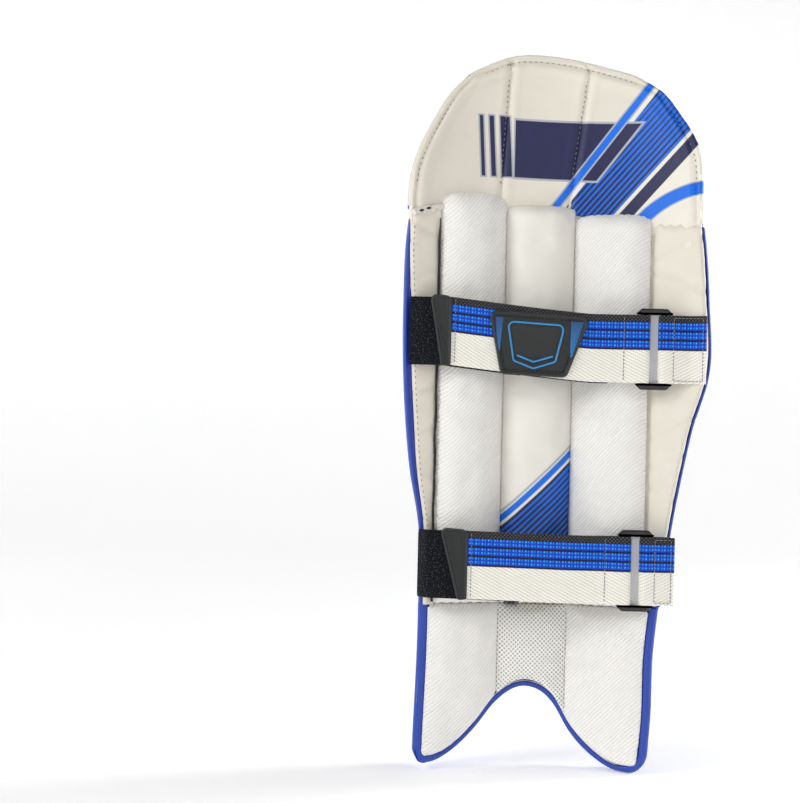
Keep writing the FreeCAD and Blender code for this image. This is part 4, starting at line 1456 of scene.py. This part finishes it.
def main_webbing(level, ring_center, end_x, end_rise):
    """The strap itself, one length of webbing from its free end, round the ring and back to the stitching."""
    center_x, center_z = ring_center
    bar_x = center_x - BAR_SPACING / 2
    bend_x = bar_x - STITCH_REACH - 0.75
    x = np.linspace(end_x, bend_x - 4.0, 48)
    tail = np.stack([x, STRAP_Y + 0.35 * wave(x, 2.0, 70.0) * step_up(bend_x - x, 4.0, 30.0)], axis=-1)
    near = np.linspace(bend_x, bar_x - 3.0, 12)
    tail = np.concatenate([tail,
                           np.stack([near, STRAP_Y - 4.4 * step_up(near, bend_x + 2.0, bar_x)], axis=-1)])
    path = bend_path(bar_x, tail, 1)
    rise = strap_rise_at(path[:, 0], bend_x - 20.0, end_x, end_rise)
    obj = ribbon(level + "_webbing_strap", path, center_z - WEB_WIDTH / 2, center_z + WEB_WIDTH / 2, 1.9,
                 M["webbing"], None, shear=rise)
    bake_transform(obj)
    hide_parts(level + "_strap_fold", level + "_strap_webbing")
    back_x = np.linspace(end_x + 3.0, bend_x - 5.0, 48)
    back = np.stack([back_x,
                     STRAP_Y + 1.7 + 0.35 * wave(back_x, 2.0, 70.0) * step_up(bend_x - back_x, 4.0, 30.0)],
                    axis=-1)
    rise = strap_rise_at(back_x, bend_x - 20.0, end_x, end_rise)
    drop = 3.6 if level == "upper" else 0.0
    obj = ribbon(level + "_hook_backing", back, center_z - WEB_WIDTH / 2 + 2.6 - drop,
                 center_z + WEB_WIDTH / 2 - 2.6,
                 1.3, M["backing"], level + "_strap", shear=rise)
    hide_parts(level + "_strap_backing")
    low = center_z - WEB_WIDTH / 2 + 2.0
    high = center_z + WEB_WIDTH / 2 - 2.0
    z = np.linspace(low, high, 30)
    row = np.stack([np.full(30, bend_x + 9.4), np.full(30, STRAP_Y - 2.0), z], axis=-1)
    stitches(level + "_strap_fold_stitches", [(row, (0, -1, 0))], M["grey_thread"], level + "_strap_base",
             pitch=3.4, length=2.6)
    end_row = row + np.array([end_x + 5.0 - bend_x - 9.4, 0.8, end_rise])
    stitches(level + "_strap_end_stitches", [(end_row, (0, -1, 0))], M["grey_thread"], level + "_strap",
             pitch=3.4, length=2.6)


def anchor_webbing_tab(level, ring_center, end_x):
    """The short web that holds the ring to the wing, with its box of stitches."""
    center_x, center_z = ring_center
    bar_x = center_x + BAR_SPACING / 2
    dip = math.radians(-4.8)
    start = np.array([bar_x + ANCHOR_REACH * math.cos(dip), STRAP_Y + ANCHOR_REACH * math.sin(dip)])
    slope = float(slope_at(HALF_WIDTH))
    far_x = np.linspace(end_x, start[0], 10)
    tail = np.stack([far_x, start[1] + (far_x - start[0]) * slope], axis=-1)
    share = np.linspace(0.08, 0.92, 9)[:, None]
    tail = np.concatenate([tail, start + (np.array([bar_x, STRAP_Y - 4.4]) - start) * share])
    for _ in range(3):
        tail[1:-1] = 0.25 * tail[:-2] + 0.5 * tail[1:-1] + 0.25 * tail[2:]
    path = bend_path(bar_x, tail, -1)
    obj = ribbon(level + "_anchor_webbing", path, center_z - WEB_WIDTH / 2, center_z + WEB_WIDTH / 2, 1.9,
                 M["webbing"], "side_wing")
    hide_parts(level + "_anchor_tab")
    low = center_z - WEB_WIDTH / 2 + 2.5
    high = center_z + WEB_WIDTH / 2 - 2.5
    z = np.linspace(low, high, 30)
    rows = []
    for x in (bar_x + 8.6, end_x - 3.0):
        y = float(np.interp(x, tail[::-1, 0], tail[::-1, 1]))
        rows.append((np.stack([np.full(30, x), np.full(30, y - 1.1), z], axis=-1), (0, -1, 0)))
    for level_z in (low, high):
        x = np.linspace(bar_x + 8.6, end_x - 3.0, 12)
        y = np.interp(x, tail[::-1, 0], tail[::-1, 1])
        rows.append((np.stack([x, y - 1.1, np.full(12, level_z)], axis=-1), (0, -1, 0)))
    stitches(level + "_anchor_stitches", rows, M["grey_thread"], "side_wing", pitch=3.4, length=2.6)


def moulded_ring(level, ring_center):
    """A glossy moulded loop: two round bars, and bevelled ends that stand proud of the webbing."""
    center_x, center_z = ring_center
    half = RING_WIDTH / 2
    base = WEB_WIDTH / 2 + 0.5
    tip = RING_HEIGHT / 2
    for end, sign in (("top", 1), ("bottom", -1)):
        corners = [(center_x - half, center_z + sign * base), (center_x + half, center_z + sign * base),
                   (center_x + half, center_z + sign * (base + 0.9)),
                   (center_x + half - 5.0, center_z + sign * tip),
                   (center_x - half + 5.0, center_z + sign * tip),
                   (center_x - half, center_z + sign * (base + 0.9))]
        outline = rounded(corners, (0.3, 0.3, 0.4, 3.0, 3.0, 0.4), 6)
        levels = ((1.2, STRAP_Y + 3.0), (0.3, STRAP_Y + 2.4), (0.0, STRAP_Y + 1.6), (0.0, STRAP_Y - 1.4),
                  (0.5, STRAP_Y - 2.4), (1.5, STRAP_Y - 3.0), (1.9, STRAP_Y - 3.0))
        obj = plate(level + "_ring_end_" + end, outline, levels, M["ring"], level + "_ring")
        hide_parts(level + "_ring")
    z = np.linspace(center_z - base - 1.5, center_z + base + 1.5, 12)
    for side, sign in (("inner", -1), ("outer", 1)):
        points = np.stack([np.full(12, center_x + sign * BAR_SPACING / 2), np.full(12, STRAP_Y), z], axis=-1)
        tube(level + "_ring_bar_" + side, points, 2.9, M["ring"], level + "_ring", sides=18)
    path = np.stack([np.linspace(center_x - 3.6, center_x + 3.6, 9), np.full(9, STRAP_Y + 0.6)], axis=-1)
    ribbon(level + "_ring_lining_tape", path, center_z - base - 0.4, center_z + base + 0.4, 1.2, M["tape"],
           level + "_ring", cols=25)


def rounded(corners, radius, steps=6):
    """A closed outline with its corners rounded by arcs."""
    corners = np.asarray(corners, float)
    radius = np.broadcast_to(np.asarray(radius, float), len(corners))
    out = []
    for i, corner in enumerate(corners):
        before = corners[i - 1] - corner
        after = corners[(i + 1) % len(corners)] - corner
        before /= np.linalg.norm(before)
        after /= np.linalg.norm(after)
        half = 0.5 * math.acos(float(np.clip(before @ after, -1, 1)))
        reach = radius[i] / math.tan(half)
        middle = (before + after) / np.linalg.norm(before + after)
        hub = corner + middle * radius[i] / math.sin(half)
        first = corner + before * reach - hub
        last = corner + after * reach - hub
        a0 = math.atan2(first[1], first[0])
        turn = (math.atan2(last[1], last[0]) - a0 + math.pi) % (2 * math.pi) - math.pi
        for share in np.linspace(0, 1, steps):
            angle = a0 + turn * share
            out.append(hub + radius[i] * np.array([math.cos(angle), math.sin(angle)]))
    return np.array(out)


def shrink(outline, amount):
    """A closed outline moved inwards."""
    ahead = np.roll(outline, -1, axis=0) - np.roll(outline, 1, axis=0)
    ahead /= np.linalg.norm(ahead, axis=1)[:, None]
    normal = np.stack([-ahead[:, 1], ahead[:, 0]], axis=-1)
    area = 0.5 * np.sum(outline[:, 0] * np.roll(outline[:, 1], -1) - np.roll(outline[:, 0], -1) * outline[:,
                                                                                                          1])
    return outline + normal * amount * (1 if area > 0 else -1)


def plate(name, outline, levels, material, body):
    """A moulded piece from its outline; levels are (inset, y) from the back to the front."""
    rings = [np.stack([ring[:, 0], np.full(len(ring), y), ring[:, 1]], axis=-1)
             for ring, y in ((shrink(outline, inset), y) for inset, y in levels)]
    count = len(outline)
    faces = [tuple(range(count))]
    for r in range(len(rings) - 1):
        for c in range(count):
            d = (c + 1) % count
            faces.append((r * count + c, r * count + d, (r + 1) * count + d, (r + 1) * count + c))
    faces.append(tuple(range((len(rings) - 1) * count, len(rings) * count)))
    return new_object(name, np.concatenate(rings) * MM, faces, material, body)


def in_plane(outline, y):
    return np.stack([outline[:, 0], np.full(len(outline), y), outline[:, 1]], axis=-1)


def pull_tab(level, end_x, tab_z, reach):
    """A tapered rubber tab, wide at the top, with a sunk panel and a raised line in it."""
    half = WEB_WIDTH / 2
    corners = [(end_x + 1.5, tab_z - half - 0.5), (end_x + 1.5, tab_z + half - 1.0),
               (end_x - 3.0, tab_z + half + 1.2),
               (end_x - reach, tab_z + half + 2.6), (end_x - 7.5, tab_z - half - 1.5)]
    outline = rounded(corners, (2.5, 2.5, 6.0, 5.0, 3.5))
    levels = ((0.6, STRAP_Y + 1.4), (0.0, STRAP_Y + 0.8), (0.0, STRAP_Y - 1.7), (0.5, STRAP_Y - 2.3),
              (1.6, STRAP_Y - 2.4), (2.1, STRAP_Y - 2.3), (2.5, STRAP_Y - 1.7), (2.9, STRAP_Y - 1.6))
    obj = plate(level + "_pull_tab_moulding", outline, levels, M["rubber"], level + "_strap")
    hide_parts(level + "_pull_tab")
    inner = shrink(outline, 3.7)
    tube(level + "_pull_tab_line", in_plane(inner, STRAP_Y - 1.6), 0.45, M["rubber"], level + "_strap",
         sides=8,
         closed=True)


def strap_badge():
    """A moulded shield with a corded rim, two blue side wedges and a plain shield outline."""
    back = STRAP_Y - 1.0
    outline = rounded([(-51.0, 436.5), (44.5, 431.5), (22.5, 374.5), (-39.0, 376.5)], (7.0, 7.0, 6.0, 6.0), 9)
    face = back - 1.7
    levels = ((0.5, back), (0.0, back - 0.4), (0.0, back - 1.8), (0.7, back - 2.5), (2.6, back - 2.5),
              (3.3, face), (3.7, face))
    obj = plate("strap_badge_moulding", outline, levels, M["badge"], "upper_strap")
    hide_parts("strap_badge")
    cord = in_plane(shrink(outline, 1.6), back - 2.4)
    twist = 0.85 + 0.22 * np.sin(np.arange(len(cord)) * 2.1)
    tube("strap_badge_cord", cord, twist, M["badge"], "upper_strap", sides=8, closed=True)
    path = in_plane(shrink(outline, 4.9), face - 0.1)
    path = np.concatenate([path, path[:1]])
    stitches("strap_badge_stitches", [(path, (0, -1, 0))], M["dark_thread"], "upper_strap", pitch=3.6,
             length=2.5,
             radius=0.6)
    wedges = (((-45.0, 430.5), (-37.0, 430.3), (-41.0, 389.0)), ((26.0, 427.5), (38.5, 426.8), (25.4, 388.5)))
    for side, corners in zip(("left", "right"), wedges):
        wedge = rounded(corners, 0.9, 4)
        plate("strap_badge_wedge_" + side, wedge, ((0.0, face + 0.3), (0.0, face - 0.5), (0.4, face - 0.8),
              (0.7, face - 0.8)), M["badge_blue"], "upper_strap")
    shield = rounded([(-33.0, 426.0), (20.0, 423.0), (12.0, 389.0), (-8.5, 382.5), (-27.0, 389.5)],
                     (5.0, 5.0, 3.0, 3.0, 3.0), 7)
    tube("strap_badge_shield_line", in_plane(shield, face - 0.3), 0.85, M["emblem"], "upper_strap", sides=10,
         closed=True, flat=0.8)
    inner = shrink(shield, 3.2)
    plate("strap_badge_shield_panel", inner, ((0.0, face + 0.2), (0.0, face - 0.35), (0.4, face - 0.6),
          (0.8, face - 0.6)), M["badge"], "upper_strap")
    chevron = np.array([(-24.0, 394.5), (-8.5, 388.6), (9.5, 394.0)])
    share = np.linspace(0, 2, 25)
    line = np.stack([np.interp(share, (0, 1, 2), chevron[:, k]) for k in (0, 1)], axis=-1)
    tube("strap_badge_chevron", in_plane(line, face - 0.6), 0.85, M["emblem"], "upper_strap", sides=10,
         flat=0.8)


def loop_tape(level, edge_x, hinge_x, ring_center, end_x, end_rise):
    """Brushed tape that the strap closes on, sewn to the pad's medial edge."""
    center_z = ring_center[1]
    rise_from = ring_center[0] - BAR_SPACING / 2 - STITCH_REACH - 20.75
    edge_y = float(shell(edge_x - 3.5, -7.0)[1]) - 1.0
    sewn = np.linspace(edge_x, hinge_x - 3.0, 12)
    share = (sewn - edge_x) / (hinge_x - 3.0 - edge_x)
    path = np.stack([sewn, edge_y + (-47.5 - edge_y) * share ** 0.8], axis=-1)
    free = np.linspace(hinge_x, -20.0, 40)
    path = np.concatenate([path, np.stack([free, np.full(40, -47.5)], axis=-1)])
    for _ in range(3):
        path[1:-1] = 0.25 * path[:-2] + 0.5 * path[1:-1] + 0.25 * path[2:]
    rise = np.minimum(strap_rise_at(path[:, 0], rise_from, end_x, end_rise), end_rise + 1.0) - 1.2
    obj = ribbon(level + "_loop_tape_cloth", path, center_z - 31.9, center_z + 31.9, 1.7, M["loop"], None,
                 cols=19,
                 shear=rise)
    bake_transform(obj)
    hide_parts(level + "_tape_root", level + "_loop_tape")
    z = np.linspace(center_z - 31.0, center_z + 31.0, 30) + rise[0]
    row = np.stack([np.full(30, edge_x + 2.0), np.full(30, edge_y - 0.5), z], axis=-1)
    stitches(level + "_loop_tape_stitches", [(row, (0, -1, 0))], M["dark_thread"], "shin_guard", pitch=3.6,
             length=2.8)


# ---------------------------------------------------------------- seams and stitching

def seam_row(x_of, z_from, z_to, depth, rear, steps=140):
    """Points and outward directions along a seam x(z)."""
    z = np.linspace(z_from, z_to, steps)
    x = np.broadcast_to(x_of(z), z.shape)
    outward = normals_at(x, depth, z) * (-1.0 if rear else 1.0)
    return on_shell(x, depth, z), outward


def level_row(z_of, x_from, x_to, depth, rear, steps=120):
    """The same along a seam z(x)."""
    x = np.linspace(x_from, x_to, steps)
    z = np.broadcast_to(z_of(x), x.shape)
    outward = normals_at(x, depth, z) * (-1.0 if rear else 1.0)
    return on_shell(x, depth, z), outward


def rim_path(inset, z_medial=556.0, z_lateral=556.0):
    """Points (x, z) that follow the outline of the knee flap, a distance inside it."""
    z = np.linspace(z_medial, 664.0, 60)
    medial = np.stack([flap_medial_x(z), z], axis=-1)
    x = np.linspace(-58.0, 92.0, 70)
    top = np.stack([x, flap_top_z(x)], axis=-1)
    z = np.linspace(655.0, z_lateral, 60)
    lateral = np.stack([flap_lateral_x(z), z], axis=-1)
    path = np.concatenate([medial, top, lateral])
    for _ in range(6):
        path[1:-1] = 0.25 * path[:-2] + 0.5 * path[1:-1] + 0.25 * path[2:]
    tangent = np.gradient(path, axis=0)
    tangent /= np.linalg.norm(tangent, axis=1)[:, None]
    return path + inset * np.stack([tangent[:, 1], -tangent[:, 0]], axis=-1)


def rim_row(inset, depth, rear):
    """Stitching that follows the outline of the knee flap."""
    path = rim_path(inset)
    outward = normals_at(path[:, 0], depth, path[:, 1]) * (-1.0 if rear else 1.0)
    return on_shell(path[:, 0], depth, path[:, 1]), outward


def flap_hem():
    """The rolled cream edge of the knee flap."""
    path = rim_path(3.4, 534.0, 522.0)
    length = np.concatenate([[0], np.cumsum(np.linalg.norm(np.diff(path, axis=0), axis=1))])
    points = on_shell(path[:, 0], 1.2 + 0.25 * wave(length, 3.0, 18.0), path[:, 1])
    obj = tube("flap_hem_roll", points, 3.3 + 0.2 * wave(length, 1.0, 12.0), M["flap_print"], "knee_flap",
               sides=14, flat=1.3)
    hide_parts("flap_hem")


def stitching():
    stitches("flap_hem_stitches", [rim_row(7.4, -2.9, True)], M["grey_thread"], "knee_flap", pitch=5.5,
             length=2.0,
             radius=0.42)
    rows = [seam_row(between(low, high, 700.0, 500.0), 560.0, 679.0, -2.3, True)
            for low, high in ((-31.4, -43.4), (46.6, 20.6))]
    stitches("flap_lining_stitches", rows, M["grey_thread"], "knee_flap", pitch=5.0, length=2.2, radius=0.45)
    rows = [seam_row(between(low + 2.2, high + 2.2, 700.0, 500.0), 569.0, top, 16.6, False)
            for (low, high), top in zip(FLAP_SEAMS, (672.0, 680.0, 684.0, 678.0, 674.0, 660.0))]
    stitches("flap_front_stitches", rows, M["blue_thread"], "knee_flap", pitch=4.2)
    row = level_row(inside_of(flap_arch, 4.5), -124.0, 144.0, 15.6, False)
    stitches("flap_foot_stitches", [row], M["blue_thread"], "knee_flap", pitch=4.2)
    stitches("flap_front_rim_stitches", [rim_row(5.0, 12.4, False)], M["blue_thread"], "knee_flap", pitch=4.6)
    rows = [seam_row(lambda z: medial_x(z) + blue_turn(z) + 3.6, 164.0, 516.0, -6.3, True)]
    stitches("medial_facing_stitches", rows, M["grey_thread"], "shin_guard", pitch=5.4, length=2.2)
    rows = [seam_row(inside_of(wing_x, -8.0), 168.0, 510.0, -6.6, True)]
    stitches("wing_facing_stitches", rows, M["pale_thread"], "side_wing", pitch=4.4)
    row = level_row(lambda x: np.full_like(x, CROSS_SEAM_Z + 1.6), -31.0, 31.0, 16.6, False, 50)
    low = level_row(lambda x: np.full_like(x, 146.0), -29.0, 29.0, 22.5, False, 50)
    stitches("center_seam_stitches", [row, low], M["blue_thread"], "shin_guard", pitch=3.8, length=2.6)
    path = foot_path(8.6)
    rim = (on_shell(path[:, 0], 11.2, path[:, 1]), normals_at(path[:, 0], 11.2, path[:, 1]))
    stitches("foot_rim_stitches", [rim], M["blue_thread"], "shin_guard", pitch=4.4)


# ---------------------------------------------------------------- the inside, kept from CAD

def finish_inner_nodes():
    """Materials for the CAD nodes that lie inside the covers."""
    chosen = {"shin_foam_core": "foam", "wing_foam_core": "foam", "flap_foam_core": "foam",
              "cane_rods": "cane", "flap_stiffener_board": "board", "shin_lining": "cream"}
    for name, key in chosen.items():
        obj = frame["nodes"][name]
        obj.data.materials.clear()
        obj.data.materials.append(M[key])


# ---------------------------------------------------------------- stage, lights and camera

def studio():
    """A pale floor that curves up behind, and soft lights on both sides."""
    profile = [(0.0, 0.0), (0.6, 0.0), (1.4, 0.0), (2.2, 0.0)]
    for angle in np.radians(np.linspace(-80.0, 0.0, 12)):
        profile.append((2.2 + 0.9 * math.cos(angle), 0.9 + 0.9 * math.sin(angle)))
    profile.append((3.1, 2.4))
    low = CAD_BOX[0].z - 0.0008
    turns = 96
    verts = [(r * math.cos(2 * math.pi * k / turns), r * math.sin(2 * math.pi * k / turns), z + low)
             for r, z in profile[1:] for k in range(turns)]
    faces = [tuple(reversed(range(turns)))]
    for row in range(len(profile) - 2):
        for k in range(turns):
            q = (k + 1) % turns
            faces.append((row * turns + k, row * turns + q, (row + 1) * turns + q, (row + 1) * turns + k))
    mesh = bpy.data.meshes.new("studio_floor")
    mesh.from_pydata(verts, [], faces)
    mesh.polygons.foreach_set("use_smooth", [True] * len(faces))
    mesh.materials.append(M["floor"])
    floor = bpy.data.objects.new("studio_floor", mesh)
    bpy.context.scene.collection.objects.link(floor)
    world = bpy.data.worlds.new("studio_world")
    world.use_nodes = True
    world.node_tree.nodes["Background"].inputs["Color"].default_value = (1.0, 1.0, 1.0, 1.0)
    world.node_tree.nodes["Background"].inputs["Strength"].default_value = 0.06
    bpy.context.scene.world = world
    bpy.context.scene.view_settings.view_transform = "Standard"
    for name, place, size, power in (("key", (-1.9, -1.1, 1.3), 0.7, 18.0),
                                     ("fill", (1.7, -1.6, 0.9), 1.4, 1.0),
                                     ("top", (0.0, -0.5, 2.2), 1.4, 4.0),
                                     ("front_key", (2.0, 0.6, 1.0), 0.5, 32.0),
                                     ("front_fill", (-1.5, 1.5, 0.9), 0.9, 1.5)):
        light = bpy.data.lights.new(name, "AREA")
        light.energy = power
        light.size = size
        lamp = bpy.data.objects.new(name, light)
        lamp.location = place
        aim = np.array([0.0, 0.0, 0.35]) - np.array(place)
        lamp.rotation_euler = Vector(aim).to_track_quat("-Z", "Y").to_euler()
        bpy.context.scene.collection.objects.link(lamp)


def camera():
    """A long lens, square to the straps and rolled a little."""
    distance = 1.5
    frame_height = 0.7669
    roll = math.radians(1.35)
    upright = math.radians(90.0)
    data = bpy.data.cameras.new("photo_camera")
    data.sensor_width = 36.0
    data.lens = 36.0 * distance / frame_height
    data.clip_start = 0.05
    cam = bpy.data.objects.new("photo_camera", data)
    cam.location = (-0.1318, -distance - 0.02, 0.3488)
    cam.rotation_euler = (Matrix.Rotation(upright, 3, "X") @ Matrix.Rotation(roll, 3, "Z")).to_euler()
    bpy.context.scene.collection.objects.link(cam)
    bpy.context.scene.camera = cam


front_rolls()
front_edge_roll()
wing_front()
flap_front()
flap_lining()
flap_hem()
bolster()
lower_pads()
facings()
edge_binding()
bolster_piping()
knee_folds()
gathered_seam()
wing_joint()
for strap_level, ring_place, strap_end, strap_rise, tab_reach in (("upper", UPPER_RING, -87.0, 13.0, 19.0),
                                                                  ("lower", LOWER_RING, -67.0, 2.0, 25.0)):
    main_webbing(strap_level, ring_place, strap_end, strap_rise)
    moulded_ring(strap_level, ring_place)
    pull_tab(strap_level, strap_end, ring_place[1] + strap_rise, tab_reach)
anchor_webbing_tab("upper", UPPER_RING, 151.0)
anchor_webbing_tab("lower", LOWER_RING, 127.0)
loop_tape("upper", -124.0, -112.0, UPPER_RING, -87.0, 13.0)
loop_tape("lower", -111.0, -100.0, LOWER_RING, -67.0, 2.0)
strap_badge()
stitching()
finish_inner_nodes()
settle([bpy.data.objects[name] for name in (
    "bolster_cover_medial_cloth", "bolster_cover_middle_cloth", "bolster_cover_lateral_cloth",
    "lower_mesh_medial_cloth", "lower_mesh_middle_cloth", "lower_mesh_lateral_cloth",
    "front_outer_roll_medial_cover", "front_inner_roll_medial_cover", "front_center_upper_cover",
    "front_center_lower_cover", "front_inner_roll_lateral_cover", "front_outer_roll_lateral_cover",
    "medial_facing_cloth")])
studio()
camera()
